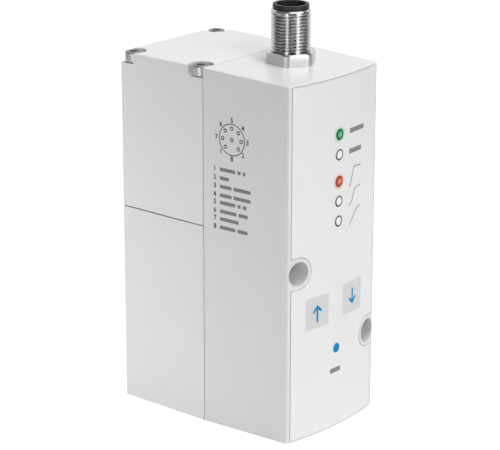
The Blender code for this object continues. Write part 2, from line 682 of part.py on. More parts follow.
# A flat frame in the rebate at the back of the electronics housing, with a land on each tunnel and boss
def add_housing_gasket():
    inset = WALL - GASKET_REBATE + CLEARANCE
    back = HOUSING_BACK_Y
    front = back - GASKET_THICKNESS + CLEARANCE
    half = BODY_WIDTH / 2 - inset
    gasket = box("housing_gasket", (-half, front, inset), (half, back, BODY_HEIGHT - inset), BLACK_RUBBER)
    inner = half - GASKET_BAND
    window = box("gasket_window", (-inner, front - CUT_MARGIN, inset + GASKET_BAND),
                 (inner, back + CUT_MARGIN, BODY_HEIGHT - inset - GASKET_BAND), None)
    reach = (front - 2 * CUT_MARGIN, back + 2 * CUT_MARGIN)
    for index, (x, z) in enumerate(PASSAGES):
        cut(window, cross_cylinder(f"gasket_land_{index}", TUNNEL_RADIUS + TUNNEL_WALL, x, z, *reach, None))
    for name, x, z in HOUSING_SCREWS:
        cut(window, cross_cylinder("gasket_land_" + name, BOSS_RADIUS, x, z, *reach, None, SMALL_STEPS))
    cut(gasket, window)
    for index, (x, z) in enumerate(PASSAGES):
        cut(gasket, cross_cylinder(f"gasket_bore_{index}", TUNNEL_RADIUS, x, z, *reach, None))
    cut(gasket, joined("gasket_screw_holes", [
        cross_cylinder("gasket_hole_" + name, HOUSING_SHAFT_RADIUS + CLEARANCE, x, z, *reach, None,
                       SMALL_STEPS) for name, x, z in HOUSING_SCREWS]))


# Light pipes from the lamp chips on the board to domed lenses flush with the foil
def add_light_pipes():
    finishes = {"power": LENS_GREEN, "mode_1": LENS_RED}
    front = -PANEL_Y
    back = -(BOARD_FRONT_Y - LAMP_CHIP_HEIGHT - CLEARANCE)
    collar_front = -(panel_y(0.0, WALL) + CLEARANCE)
    profile = [
        (0, front),
        (LENS_RADIUS * 0.7, front - LENS_DOME * 0.35),
        (LENS_RADIUS, front - LENS_DOME),
        (LENS_RADIUS, collar_front),
        (LIGHT_PIPE_COLLAR_RADIUS, collar_front),
        (LIGHT_PIPE_COLLAR_RADIUS, collar_front - LIGHT_PIPE_COLLAR),
        (LENS_RADIUS, collar_front - LIGHT_PIPE_COLLAR),
        (LENS_RADIUS, back),
        (0, back),
    ]
    for name, z in LAMP_HEIGHTS.items():
        turned("light_pipe_" + name, profile, finishes.get(name, LENS_CLEAR), location=(0, 0, z),
               rotation=TO_FRONT, steps=SMALL_STEPS)


# Each pusher slides back through the panel wall into its switch; its frame lies on the slide axis
def add_keys():
    switch_front = BOARD_FRONT_Y - CLEARANCE - SWITCH_HEIGHT
    well_floor = KEY_TRAVEL + KEY_TIP_ENGAGEMENT + CLEARANCE
    for name, (x, z) in KEY_PLACES.items():
        axis = new_frame("key_axis_" + name, (x, panel_y(x, RECESS_DEPTH), z), TO_FRONT)
        tip = -(switch_front + KEY_TIP_ENGAGEMENT - axis.location.y)
        collar_front = -(panel_y(x, WALL) + CLEARANCE - axis.location.y)
        profile = [
            (0, 0.0),
            (KEY_PUSHER_RADIUS, 0.0),
            (KEY_PUSHER_RADIUS, collar_front),
            (KEY_PUSHER_COLLAR_RADIUS, collar_front),
            (KEY_PUSHER_COLLAR_RADIUS, collar_front - KEY_PUSHER_COLLAR),
            (KEY_TIP_RADIUS, collar_front - KEY_PUSHER_COLLAR),
            (KEY_TIP_RADIUS, tip),
            (0, tip),
        ]
        turned("key_pusher_" + name, profile, BLACK_PLASTIC, axis, steps=SMALL_STEPS)
        switch = box("key_switch_" + name,
                     (x - SWITCH_SIZE / 2, switch_front, z - SWITCH_SIZE / 2),
                     (x + SWITCH_SIZE / 2, switch_front + SWITCH_HEIGHT, z + SWITCH_SIZE / 2), BLACK_PLASTIC)
        cut(switch, cross_cylinder("switch_well_" + name, KEY_TIP_RADIUS + CLEARANCE, x, z,
                                   switch_front - CUT_MARGIN, switch_front + well_floor, None, SMALL_STEPS))


# The board clears the screw tunnels; lamp chips and the controller are soldered to its front
def add_circuit_board():
    back = BOARD_FRONT_Y + BOARD_THICKNESS
    half = half_width(BOARD_FRONT_Y) - WALL - CLEARANCE
    low = bottom_height(BOARD_FRONT_Y) + WALL + BOARD_END_GAP
    high = top_height(back) - WALL - BOARD_END_GAP
    board = box("circuit_board", (-half, BOARD_FRONT_Y, low), (half, back, high), BOARD_GREEN)
    for index, (x, z) in enumerate(PASSAGES):
        cut(board, passage_block(f"board_notch_{index}", x, z, TUNNEL_RADIUS + TUNNEL_WALL + CLEARANCE,
                                 BOARD_FRONT_Y - CUT_MARGIN, back + CUT_MARGIN))
    chips = [("lamp_chip_" + name, 0.0, z, LAMP_CHIP_SIZE, LAMP_CHIP_HEIGHT) for name, z in
             LAMP_HEIGHTS.items()]
    chips.append(("controller_chip", 0.0, BODY_HEIGHT * CONTROLLER_SHARE, CONTROLLER_SIZE, CONTROLLER_HEIGHT))
    for name, x, z, size, height in chips:
        chip = box(name, (x - size / 2, BOARD_FRONT_Y - height, z - size / 2),
                   (x + size / 2, BOARD_FRONT_Y + BOARD_THICKNESS / 2, z + size / 2), None)
        combine(board, chip, "UNION")


PLUG_Y = FRONT_EDGE_Y + PLUG_SETBACK
PLUG_SEAT_RADIUS = HEX_CORNER_RADIUS + CLEARANCE
PLUG_SEAT = top_height(PLUG_Y - PLUG_SEAT_RADIUS)
HEX_BOTTOM = PLUG_SEAT + CLEARANCE
NUT_TOP = top_height(PLUG_Y - PLUG_SEAT_RADIUS) - WALL - CLEARANCE
NUT_BOTTOM = NUT_TOP - NUT_HEIGHT
STUB_BOTTOM = NUT_BOTTOM - 2 * CLEARANCE
SLEEVE_TOP = HEX_BOTTOM + SLEEVE_HEIGHT
COLLAR_BOTTOM = SLEEVE_TOP + CLEARANCE
COLLAR_TOP = COLLAR_BOTTOM + INSERT_COLLAR_HEIGHT
SOCKET_FLOOR = COLLAR_TOP - SOCKET_DEPTH


def hexagon(across_flats):
    corner = across_flats / 2 / math.cos(math.pi / 6)
    turn = [math.pi / 6 + math.pi / 3 * step for step in range(6)]
    return [(corner * math.cos(angle), corner * math.sin(angle)) for angle in turn]


# The round plug: a shell with a hexagon, its insert with eight pins, a seal and a nut under the top wall
def add_round_plug():
    axis = new_frame("plug_axis", (PLUG_OFFSET_X, PLUG_Y, 0))
    hex_top = HEX_BOTTOM + HEX_HEIGHT
    shell_profile = [
        (SHELL_BORE_RADIUS, SLEEVE_TOP),
        (THREAD_RADIUS - SLEEVE_CHAMFER, SLEEVE_TOP),
        (THREAD_RADIUS, SLEEVE_TOP - SLEEVE_CHAMFER),
        (THREAD_RADIUS, hex_top),
        (HEX_CORNER_RADIUS - HEX_CHAMFER, hex_top),
        (HEX_CORNER_RADIUS, hex_top - HEX_CHAMFER),
        (HEX_CORNER_RADIUS, HEX_BOTTOM),
        (STUB_RADIUS, HEX_BOTTOM),
        (STUB_RADIUS, STUB_BOTTOM),
        (SHELL_BORE_RADIUS, STUB_BOTTOM),
    ]
    shell = turned("connector_shell", shell_profile, NICKEL, axis, steps=VISIBLE_STEPS)
    flats = plate("shell_flats", hexagon(HEX_ACROSS_FLATS), STUB_BOTTOM - CUT_MARGIN,
                  SLEEVE_TOP + CUT_MARGIN, None, axis)
    combine(shell, flats, "INTERSECT")

    nut = plate("connector_nut", hexagon(HEX_ACROSS_FLATS), NUT_BOTTOM, NUT_TOP, NICKEL, axis)
    cut(nut, cylinder("nut_bore", STUB_RADIUS + CLEARANCE, NUT_BOTTOM - CUT_MARGIN, NUT_TOP + CUT_MARGIN,
                      None, axis))
    seal_inner = STUB_RADIUS + CLEARANCE
    ring("connector_seal", seal_inner, seal_inner + SEAL_BAND, PLUG_SEAT - SEAL_SEAT_DEPTH + CLEARANCE,
         PLUG_SEAT, BLACK_RUBBER, axis)

    insert_radius = SHELL_BORE_RADIUS - CLEARANCE
    insert_profile = [
        (0, SOCKET_FLOOR),
        (SOCKET_RADIUS, SOCKET_FLOOR),
        (SOCKET_RADIUS, COLLAR_TOP),
        (INSERT_COLLAR_RADIUS, COLLAR_TOP),
        (INSERT_COLLAR_RADIUS, COLLAR_BOTTOM),
        (insert_radius, COLLAR_BOTTOM),
        (insert_radius, STUB_BOTTOM),
        (0, STUB_BOTTOM),
    ]
    insert = turned("connector_insert", insert_profile, BLACK_PLASTIC, axis)
    rib_outer = (SOCKET_RADIUS + insert_radius) / 2
    rib = box("insert_key", (-KEYWAY_WIDTH / 2, SOCKET_RADIUS - KEYWAY_DEPTH, SOCKET_FLOOR - CLEARANCE),
              (KEYWAY_WIDTH / 2, rib_outer, COLLAR_TOP - INSERT_COLLAR_HEIGHT), None, axis)
    combine(insert, rib, "UNION")
    pin_bottom = STUB_BOTTOM - PIN_TAIL
    pin_top = SOCKET_FLOOR + PIN_STAND
    pin_holes = []
    for index in range(PIN_COUNT):
        angle = math.pi / 2 + 2 * math.pi * (index + 1) / PIN_COUNT
        radius = PIN_CIRCLE_RADIUS if index < PIN_COUNT - 1 else 0.0
        place = (radius * math.cos(angle), radius * math.sin(angle), 0)
        pin_holes.append(cylinder(f"pin_hole_{index + 1}", PIN_RADIUS + CLEARANCE,
                                  STUB_BOTTOM - CUT_MARGIN, SOCKET_FLOOR + CUT_MARGIN, None, axis, place,
                                  steps=TINY_STEPS))
        pin_profile = [
            (0, pin_top),
            (PIN_RADIUS / 2, pin_top),
            (PIN_RADIUS, pin_top - PIN_RADIUS),
            (PIN_RADIUS, pin_bottom),
            (0, pin_bottom),
        ]
        turned(f"contact_pin_{index + 1}", pin_profile, GOLD, axis, place, steps=TINY_STEPS)
    cut(insert, joined("pin_holes", pin_holes))


# Where the four corner screws stand
def corner_places():
    x = BODY_WIDTH / 2 - CORNER_SCREW_INSET
    front = SEAM_Y + CORNER_FRONT_SETBACK
    rear = REAR_Y - CORNER_REAR_SETBACK
    return {"front_left": (-x, front), "front_right": (x, front), "rear_left": (-x, rear),
            "rear_right": (x, rear)}


# A stepped hole about its own Z axis: wide from top to floor, narrow from floor to bottom
def stepped_hole(name, wide, narrow, top, floor, bottom, location, rotation=(0, 0, 0), steps=SMALL_STEPS):
    profile = [(0, top), (wide, top), (wide, floor), (narrow, floor), (narrow, bottom), (0, bottom)]
    return turned(name, profile, None, None, location, rotation, steps)


# The hole of a housing screw, its head sunk in the flange face
def housing_screw_hole(name, x, z):
    return stepped_hole("screw_hole_" + name, HOUSING_HEAD_RADIUS + CLEARANCE,
                        HOUSING_SHAFT_RADIUS + CLEARANCE, REAR_Y + CUT_MARGIN,
                        REAR_Y - HOUSING_HEAD_HEIGHT - 2 * CLEARANCE, SEAM_Y - CUT_MARGIN, (x, 0, z), TO_REAR)


# Seat of a pressure sensor in a front face, with its passage back to the axis
def sensor_hole(name):
    return stepped_hole("sensor_hole_" + name, SENSOR_RADIUS + CLEARANCE, PILOT_PASSAGE_RADIUS,
                        CUT_MARGIN - SEAM_Y, -(SEAM_Y + SENSOR_SEAT_DEPTH), -(VALVE_AXIS_Y + CLEARANCE),
                        (0, 0, SENSOR_HEIGHTS[name]), TO_FRONT)


def add_valve_body(valve_axis):
    on_split = VALVE_TOP - EDGE_RADIUS / 2
    on_seam = SEAM_Y + EDGE_RADIUS / 2
    body = box("valve_body", (-BODY_WIDTH / 2, SEAM_Y, 0), (BODY_WIDTH / 2, REAR_Y, VALVE_TOP),
               PAINTED_METAL, None, EDGE_RADIUS,
               lambda middle: middle.z < on_split and middle.y > on_seam)
    groove = RETAINER_GROOVE_DEPTH
    retainer_top = RETAINER_SEAT + RETAINER_THICKNESS + CLEARANCE
    stack = [
        (0, VALVE_TOP + CUT_MARGIN),
        (PISTON_BORE_RADIUS, VALVE_TOP + CUT_MARGIN),
        (PISTON_BORE_RADIUS, PISTON_BORE_FLOOR),
        (STEM_GUIDE_RADIUS + CLEARANCE, PISTON_BORE_FLOOR),
        (STEM_GUIDE_RADIUS + CLEARANCE, STEM_GUIDE_SEAT),
        (OUTLET_CHAMBER_RADIUS, STEM_GUIDE_SEAT),
        (OUTLET_CHAMBER_RADIUS, OUTLET_FLOOR),
        (SEAT_RADIUS, OUTLET_FLOOR),
        (SEAT_RADIUS, SEAT_HEIGHT),
        (CHAMBER_RADIUS, SEAT_HEIGHT),
        (CHAMBER_RADIUS, PLUG_SHOULDER + CLEARANCE),
        (PLUG_BORE_RADIUS, PLUG_SHOULDER + CLEARANCE),
        (PLUG_BORE_RADIUS, retainer_top),
        (PLUG_BORE_RADIUS + groove, retainer_top),
        (PLUG_BORE_RADIUS + groove, RETAINER_SEAT - CLEARANCE),
        (PLUG_BORE_RADIUS, RETAINER_SEAT - CLEARANCE),
        (PLUG_BORE_RADIUS, -CUT_MARGIN),
        (0, -CUT_MARGIN),
    ]
    cut(body, turned("valve_stack_bore", stack, None, valve_axis))
    cut(body, joined("port_bores", [
        cross_cylinder("port_bore_" + name, PORT_RADIUS, 0.0, z, VALVE_AXIS_Y, REAR_Y + CUT_MARGIN, None)
        for name, z in PORT_HEIGHTS.items()]))
    cut(body, joined("port_grooves", [
        ring("port_groove_" + name, PORT_SEAL_INNER - CLEARANCE, PORT_SEAL_OUTER + CLEARANCE,
             -(REAR_Y + CUT_MARGIN), -(REAR_Y - PORT_SEAL_THICKNESS - CLEARANCE), None,
             location=(0, 0, z), rotation=TO_FRONT)
        for name, z in PORT_HEIGHTS.items()]))
    cut(body, joined("mount_bores", [
        cross_cylinder(f"mount_bore_{index}", MOUNT_BORE_RADIUS, x, z, SEAM_Y - CUT_MARGIN,
                       REAR_Y + CUT_MARGIN, None, ROUND_STEPS)
        for index, (x, z) in enumerate(PASSAGES)]))
    cut(body, joined("corner_threads", [
        cylinder("corner_thread_" + name, CORNER_SHAFT_RADIUS + CLEARANCE,
                 VALVE_TOP - CORNER_GRIP - CLEARANCE, VALVE_TOP + CUT_MARGIN, None, location=(x, y, 0),
                 steps=SMALL_STEPS)
        for name, (x, y) in corner_places().items()]))
    cut(body, joined("lower_screw_holes", [housing_screw_hole(*place) for place in HOUSING_SCREWS[:2]]))
    cut(body, sensor_hole("outlet"))


def add_pilot_housing(valve_axis, pilot_axes):
    on_split = PILOT_BOTTOM + EDGE_RADIUS / 2
    on_seam = SEAM_Y + EDGE_RADIUS / 2
    housing = box("pilot_housing", (-BODY_WIDTH / 2, SEAM_Y, PILOT_BOTTOM),
                  (BODY_WIDTH / 2, REAR_Y, BODY_HEIGHT), WHITE_PLASTIC, None, EDGE_RADIUS,
                  lambda middle: middle.z > on_split and middle.y > on_seam)
    bay_front = SEAM_Y - CUT_MARGIN
    bay = box("valve_bay", (-VALVE_BAY_WIDTH / 2, bay_front, BAY_FLOOR),
              (VALVE_BAY_WIDTH / 2, SEAM_Y + VALVE_BAY_DEPTH, BAY_TOP), None)
    chamber = cylinder("pilot_chamber", PILOT_CHAMBER_RADIUS, PILOT_BOTTOM - CUT_MARGIN,
                       PILOT_BOTTOM + PILOT_CHAMBER_HEIGHT, None, valve_axis)
    groove_half = BODY_SEAL_SECTION + CLEARANCE
    groove = ring("body_seal_groove", BODY_SEAL_RADIUS - groove_half, BODY_SEAL_RADIUS + groove_half,
                  PILOT_BOTTOM - CUT_MARGIN, PILOT_BOTTOM + 2 * BODY_SEAL_SECTION + CLEARANCE, None,
                  valve_axis)
    cut(housing, bay, chamber, groove)
    pocket_floor = BODY_HEIGHT - CORNER_HEAD_SINK - CORNER_HEAD_HEIGHT - CLEARANCE
    cut(housing, joined("corner_holes", [
        stepped_hole("corner_hole_" + name, CORNER_POCKET_RADIUS, CORNER_SHAFT_RADIUS + CLEARANCE,
                     BODY_HEIGHT + CUT_MARGIN, pocket_floor, PILOT_BOTTOM - CUT_MARGIN, (x, y, 0),
                     steps=VISIBLE_STEPS)
        for name, (x, y) in corner_places().items()]))
    cut(housing, joined("upper_screw_holes", [housing_screw_hole(*place) for place in HOUSING_SCREWS[2:]]))
    cut(housing, sensor_hole("pilot"))
    passages = [cylinder("sensor_riser", PILOT_NOZZLE_RADIUS, PILOT_BOTTOM, SENSOR_HEIGHTS["pilot"], None,
                         valve_axis, steps=TINY_STEPS)]
    for index, axis in enumerate(pilot_axes, 1):
        passages.append(cylinder(f"nozzle_passage_{index}", PILOT_PASSAGE_RADIUS, PILOT_BOTTOM - BAY_FLOOR,
                                 CUT_MARGIN, None, axis, steps=TINY_STEPS))
    cut(housing, joined("pilot_passages", passages))


def add_body_seal(valve_axis):
    bpy.ops.mesh.primitive_torus_add(major_radius=BODY_SEAL_RADIUS, minor_radius=BODY_SEAL_SECTION,
                                     major_segments=ROUND_STEPS, minor_segments=6)
    blank = bpy.context.object
    mesh = blank.data
    bpy.data.objects.remove(blank, do_unlink=True)
    seal = new_object("body_seal", mesh, BLACK_RUBBER, valve_axis)
    seal.location.z = PILOT_BOTTOM + BODY_SEAL_SECTION


def add_port_seals():
    for name, z in PORT_HEIGHTS.items():
        ring("port_seal_" + name, PORT_SEAL_INNER, PORT_SEAL_OUTER, -REAR_Y, -(REAR_Y - PORT_SEAL_THICKNESS),
             BLACK_RUBBER, location=(0, 0, z), rotation=TO_FRONT)


# A socket head screw about its own Z axis, its head's seat at height zero
def socket_screw(name, head_radius, head_height, shaft_radius, length, socket_radius, socket_depth,
                 location, rotation=(0, 0, 0), steps=ROUND_STEPS):
    rim = head_height / 10
    profile = [
        (0, head_height),
        (head_radius - rim, head_height),
        (head_radius, head_height - rim),
        (head_radius, 0),
        (shaft_radius, 0),
        (shaft_radius, -length),
        (0, -length),
    ]
    screw = turned(name, profile, STEEL, None, location, rotation, steps)
    cut(screw, cylinder(name + "_socket", socket_radius, head_height - socket_depth,
                        head_height + CUT_MARGIN, None, None, location, rotation, steps=6))


def add_screws():
    corner_seat = BODY_HEIGHT - CORNER_HEAD_SINK - CORNER_HEAD_HEIGHT
    corner_length = corner_seat - (VALVE_TOP - CORNER_GRIP)
    for name, (x, y) in corner_places().items():
        socket_screw("corner_screw_" + name, CORNER_HEAD_RADIUS, CORNER_HEAD_HEIGHT, CORNER_SHAFT_RADIUS,
                     corner_length, CORNER_SOCKET_RADIUS, CORNER_SOCKET_DEPTH, (x, y, corner_seat))
    head_seat = REAR_Y - HOUSING_HEAD_HEIGHT - CLEARANCE
    tip = HOUSING_BACK_Y - BOSS_LENGTH + BOSS_FLOOR + CLEARANCE
    for name, x, z in HOUSING_SCREWS:
        socket_screw("housing_screw_" + name, HOUSING_HEAD_RADIUS, HOUSING_HEAD_HEIGHT, HOUSING_SHAFT_RADIUS,
                     head_seat - tip, HOUSING_SOCKET_RADIUS, HOUSING_SOCKET_DEPTH, (x, head_seat, z), TO_REAR,
                     SMALL_STEPS)


# The plug carries the exhaust chamber and the guide of the poppet's tail
def add_bottom_plug(valve_axis):
    base_radius = PLUG_BORE_RADIUS - CLEARANCE
    sleeve_radius = CHAMBER_RADIUS - CLEARANCE
    groove_radius = base_radius - PLUG_SEAL_DEPTH
    groove_low = PLUG_BOTTOM + (PLUG_BASE_HEIGHT - PLUG_SEAL_HEIGHT) / 2 - CLEARANCE
    groove_high = groove_low + PLUG_SEAL_HEIGHT + 2 * CLEARANCE
    chamber_floor = EXHAUST_PORT_HEIGHT - PORT_RADIUS
    guide_radius = POPPET_TAIL_RADIUS + CLEARANCE
    profile = [
        (guide_radius, GUIDE_TOP),
        (sleeve_radius, GUIDE_TOP),
        (sleeve_radius, PLUG_SHOULDER),
        (base_radius, PLUG_SHOULDER),
        (base_radius, groove_high),
        (groove_radius, groove_high),
        (groove_radius, groove_low),
        (base_radius, groove_low),
        (base_radius, PLUG_BOTTOM),
        (0, PLUG_BOTTOM),
        (0, chamber_floor),
        (EXHAUST_CHAMBER_RADIUS, chamber_floor),
        (EXHAUST_CHAMBER_RADIUS, GUIDE_BOTTOM),
        (guide_radius, GUIDE_BOTTOM),
    ]
    plug = turned("bottom_plug", profile, ALUMINIUM, valve_axis)
    window_half = EXHAUST_WINDOW_WIDTH / 2
    reach = CHAMBER_RADIUS + CUT_MARGIN
    for name, low, high in (
        ("cross", (-reach, -window_half), (reach, window_half)),
        ("depth", (-window_half, -reach), (window_half, reach)),
    ):
        cut(plug, box("exhaust_window_" + name, (*low, chamber_floor + CLEARANCE),
                      (*high, GUIDE_BOTTOM - CLEARANCE), None, valve_axis))
    ring("plug_seal", groove_radius + SLIDING_CLEARANCE, PLUG_BORE_RADIUS - SLIDING_CLEARANCE,
         groove_low + CLEARANCE, groove_high - CLEARANCE, BLACK_RUBBER, valve_axis)


# The open ring that snaps into its groove below the plug
def add_retaining_ring(valve_axis):
    outer = PLUG_BORE_RADIUS + RETAINER_GROOVE_DEPTH - CLEARANCE
    inner = outer - RETAINER_BAND
    gap = math.radians(RETAINER_GAP_ANGLE) / 2
    sweep = 2 * math.pi - 2 * gap
    turn = [gap + sweep * step / ROUND_STEPS for step in range(ROUND_STEPS + 1)]
    outside = [(outer * math.cos(angle), outer * math.sin(angle)) for angle in turn]
    inside = [(inner * math.cos(angle), inner * math.sin(angle)) for angle in reversed(turn)]
    plate("retaining_ring", outside + inside, RETAINER_SEAT, RETAINER_SEAT + RETAINER_THICKNESS, STEEL,
          valve_axis)


# The poppet closes upwards on its seat; its hollow tail vents the outlet when the stem lifts off
def add_poppet(valve_axis):
    head_bottom = POPPET_TOP - POPPET_HEAD
    tail_bottom = GUIDE_BOTTOM - PORT_PITCH * POPPET_TAIL_SHARE
    profile = [
        (POPPET_VENT_RADIUS, POPPET_TOP),
        (POPPET_RADIUS, POPPET_TOP),
        (POPPET_RADIUS, head_bottom),
        (POPPET_TAIL_RADIUS, head_bottom),
        (POPPET_TAIL_RADIUS, tail_bottom),
        (POPPET_VENT_RADIUS, tail_bottom),
    ]
    turned("inlet_poppet", profile, BRASS, valve_axis)
    spring_radius = POPPET_TAIL_RADIUS + CLEARANCE + 2 * POPPET_SPRING_WIRE
    spring("poppet_spring", spring_radius, POPPET_SPRING_WIRE, GUIDE_TOP + CLEARANCE,
           head_bottom - CLEARANCE, POPPET_SPRING_TURNS, 8, STEEL, valve_axis)


# The control piston stands on the poppet with its stem, guided by a disc above the outlet chamber
def add_control_piston(valve_axis):
    guide = ring("stem_guide", STEM_RADIUS + CLEARANCE, STEM_GUIDE_RADIUS, STEM_GUIDE_SEAT + CLEARANCE,
                 STEM_GUIDE_SEAT + STEM_GUIDE_HEIGHT, ALUMINIUM, valve_axis)
    cut(guide, cylinder("feedback_hole", FEEDBACK_HOLE_RADIUS, STEM_GUIDE_SEAT - CUT_MARGIN,
                        PISTON_BORE_FLOOR + CUT_MARGIN, None, valve_axis, (FEEDBACK_HOLE_OFFSET, 0, 0),
                        steps=TINY_STEPS))
    radius = PISTON_BORE_RADIUS - CLEARANCE
    bottom = PISTON_TOP - PISTON_HEIGHT
    groove_radius = radius - PISTON_SEAL_DEPTH
    groove_low = bottom + (PISTON_HEIGHT - PISTON_SEAL_HEIGHT) / 2 - CLEARANCE
    groove_high = groove_low + PISTON_SEAL_HEIGHT + 2 * CLEARANCE
    profile = [
        (0, PISTON_TOP),
        (radius, PISTON_TOP),
        (radius, groove_high),
        (groove_radius, groove_high),
        (groove_radius, groove_low),
        (radius, groove_low),
        (radius, bottom),
        (STEM_RADIUS, bottom),
        (STEM_RADIUS, POPPET_TOP + CLEARANCE),
        (0, POPPET_TOP + CLEARANCE),
    ]
    turned("control_piston", profile, ALUMINIUM, valve_axis)
    ring("piston_seal", groove_radius + SLIDING_CLEARANCE, PISTON_BORE_RADIUS - SLIDING_CLEARANCE,
         groove_low + CLEARANCE, groove_high - CLEARANCE, BLACK_RUBBER, valve_axis)


# One pilot valve about its own axis, with the floor of the valve bay at height zero
def add_pilot_valve(number, axis):
    base_top = CLEARANCE + PILOT_BASE_HEIGHT
    tube_top = base_top + PILOT_TUBE_HEIGHT
    bore = PILOT_TUBE_RADIUS - PILOT_TUBE_WALL
    core_bottom = tube_top - PILOT_TUBE_HEIGHT * PILOT_CORE_SHARE
    nozzle_top = base_top - CLEARANCE
    tube_profile = [
        (0, tube_top),
        (PILOT_TUBE_RADIUS, tube_top),
        (PILOT_TUBE_RADIUS, base_top),
        (PILOT_BASE_RADIUS, base_top),
        (PILOT_BASE_RADIUS, CLEARANCE),
        (PILOT_NOZZLE_RADIUS, CLEARANCE),
        (PILOT_NOZZLE_RADIUS, nozzle_top),
        (bore, nozzle_top),
        (bore, core_bottom),
        (0, core_bottom),
    ]
    turned(f"pilot_valve_{number}", tube_profile, BRASS, axis, steps=SMALL_STEPS)
    armature_bottom = nozzle_top + CLEARANCE
    armature_top = armature_bottom + PILOT_TUBE_HEIGHT * ARMATURE_SHARE
    cylinder(f"pilot_armature_{number}", bore - CLEARANCE, armature_bottom, armature_top, STEEL, axis,
             steps=SMALL_STEPS)
    wire = PILOT_TUBE_HEIGHT * PILOT_SPRING_SHARE
    spring_radius = bore - CLEARANCE - 2 * wire
    spring(f"pilot_spring_{number}", spring_radius, wire, armature_top + CLEARANCE,
           core_bottom - CLEARANCE, PILOT_SPRING_TURNS, 8, STEEL, axis)
    coil_low = base_top + CLEARANCE
    coil_high = coil_low + PILOT_TUBE_HEIGHT * COIL_SHARE
    coil_inner = PILOT_TUBE_RADIUS + CLEARANCE
    winding = COIL_RADIUS - WINDING_DEPTH
    coil_profile = [
        (coil_inner, coil_high),
        (COIL_RADIUS, coil_high),
        (COIL_RADIUS, coil_high - COIL_FLANGE),
        (winding, coil_high - COIL_FLANGE),
        (winding, coil_low + COIL_FLANGE),
        (COIL_RADIUS, coil_low + COIL_FLANGE),
        (COIL_RADIUS, coil_low),
        (coil_inner, coil_low),
    ]
    turned(f"pilot_coil_{number}", coil_profile, COPPER, axis)


def add_sensors():
    back = -(SEAM_Y + SENSOR_SEAT_DEPTH - CLEARANCE)
    shoulder = -(SEAM_Y - CLEARANCE)
    front = -(SEAM_Y - SENSOR_STAND)
    profile = [
        (0, front),
        (SENSOR_CAN_RADIUS, front),
        (SENSOR_CAN_RADIUS, shoulder),
        (SENSOR_RADIUS, shoulder),
        (SENSOR_RADIUS, back),
        (0, back),
    ]
    for name, z in SENSOR_HEIGHTS.items():
        turned("pressure_sensor_" + name, profile, STEEL, location=(0, 0, z), rotation=TO_FRONT,
               steps=SMALL_STEPS)


def build():
    valve_axis = new_frame("valve_axis", (0, VALVE_AXIS_Y, 0))
    pilot_axes = [new_frame(f"pilot_axis_{number}", (x, SEAM_Y + PILOT_SETBACK, BAY_FLOOR))
                  for number, x in ((1, -PILOT_SPACING / 2), (2, PILOT_SPACING / 2))]
    add_electronics_housing()
    add_front_foil()
    add_housing_gasket()
    add_light_pipes()
    add_keys()
    add_circuit_board()
    add_round_plug()
    add_valve_body(valve_axis)
    add_pilot_housing(valve_axis, pilot_axes)
    add_body_seal(valve_axis)
    add_port_seals()
    add_screws()
    add_bottom_plug(valve_axis)
    add_retaining_ring(valve_axis)
    add_poppet(valve_axis)
    add_control_piston(valve_axis)
    for number, axis in enumerate(pilot_axes, 1):
        add_pilot_valve(number, axis)
    add_sensors()


empty_scene()
PARTS = new_collection("electro_pneumatic_regulator")
CUTTERS = new_collection("cutters")
build()
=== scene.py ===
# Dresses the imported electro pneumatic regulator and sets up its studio.
# Lengths are written in millimetres and turned into metres where a mesh, light or camera is made.
import json
import math

import bmesh
import bpy
from mathutils import Matrix, Vector
from mathutils.geometry import interpolate_bezier

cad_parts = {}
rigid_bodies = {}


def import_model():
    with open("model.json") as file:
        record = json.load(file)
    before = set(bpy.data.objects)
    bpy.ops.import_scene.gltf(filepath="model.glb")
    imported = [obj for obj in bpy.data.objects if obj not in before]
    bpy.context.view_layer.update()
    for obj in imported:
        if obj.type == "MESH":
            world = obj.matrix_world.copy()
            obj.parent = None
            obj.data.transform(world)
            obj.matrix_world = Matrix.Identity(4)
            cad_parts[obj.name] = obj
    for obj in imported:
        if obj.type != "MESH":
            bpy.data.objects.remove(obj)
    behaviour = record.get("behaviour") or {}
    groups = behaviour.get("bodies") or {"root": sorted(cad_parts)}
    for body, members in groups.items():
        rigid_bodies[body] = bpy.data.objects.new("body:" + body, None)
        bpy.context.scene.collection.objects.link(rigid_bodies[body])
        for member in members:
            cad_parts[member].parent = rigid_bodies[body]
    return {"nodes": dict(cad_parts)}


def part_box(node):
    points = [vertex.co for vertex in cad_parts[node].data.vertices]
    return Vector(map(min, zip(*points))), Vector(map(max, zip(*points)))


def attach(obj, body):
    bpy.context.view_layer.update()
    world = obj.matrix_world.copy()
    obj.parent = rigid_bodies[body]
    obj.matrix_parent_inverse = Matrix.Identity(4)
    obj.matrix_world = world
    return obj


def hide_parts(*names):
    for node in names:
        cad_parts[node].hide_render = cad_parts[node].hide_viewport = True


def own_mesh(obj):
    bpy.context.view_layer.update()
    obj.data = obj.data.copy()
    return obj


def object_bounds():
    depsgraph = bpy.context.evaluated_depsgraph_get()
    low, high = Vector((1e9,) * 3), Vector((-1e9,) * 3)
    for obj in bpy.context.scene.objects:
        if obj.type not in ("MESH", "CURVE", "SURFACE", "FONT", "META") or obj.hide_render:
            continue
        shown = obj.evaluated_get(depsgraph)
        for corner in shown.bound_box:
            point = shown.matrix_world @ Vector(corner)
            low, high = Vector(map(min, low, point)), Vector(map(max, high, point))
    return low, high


for leftover in list(bpy.data.objects):
    bpy.data.objects.remove(leftover, do_unlink=True)
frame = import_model()
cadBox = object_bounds()
cadNodes = frame["nodes"]
mm = 0.001
print("frame loaded:", len(cadNodes), "nodes")


# sRGB hex to the linear values that Blender works in
def linear(hexColour):
    channels = [int(hexColour[place:place + 2], 16) / 255 for place in (1, 3, 5)]
    lit = [value / 12.92 if value <= 0.04045 else ((value + 0.055) / 1.055) ** 2.4 for value in channels]
    return (*lit, 1.0)


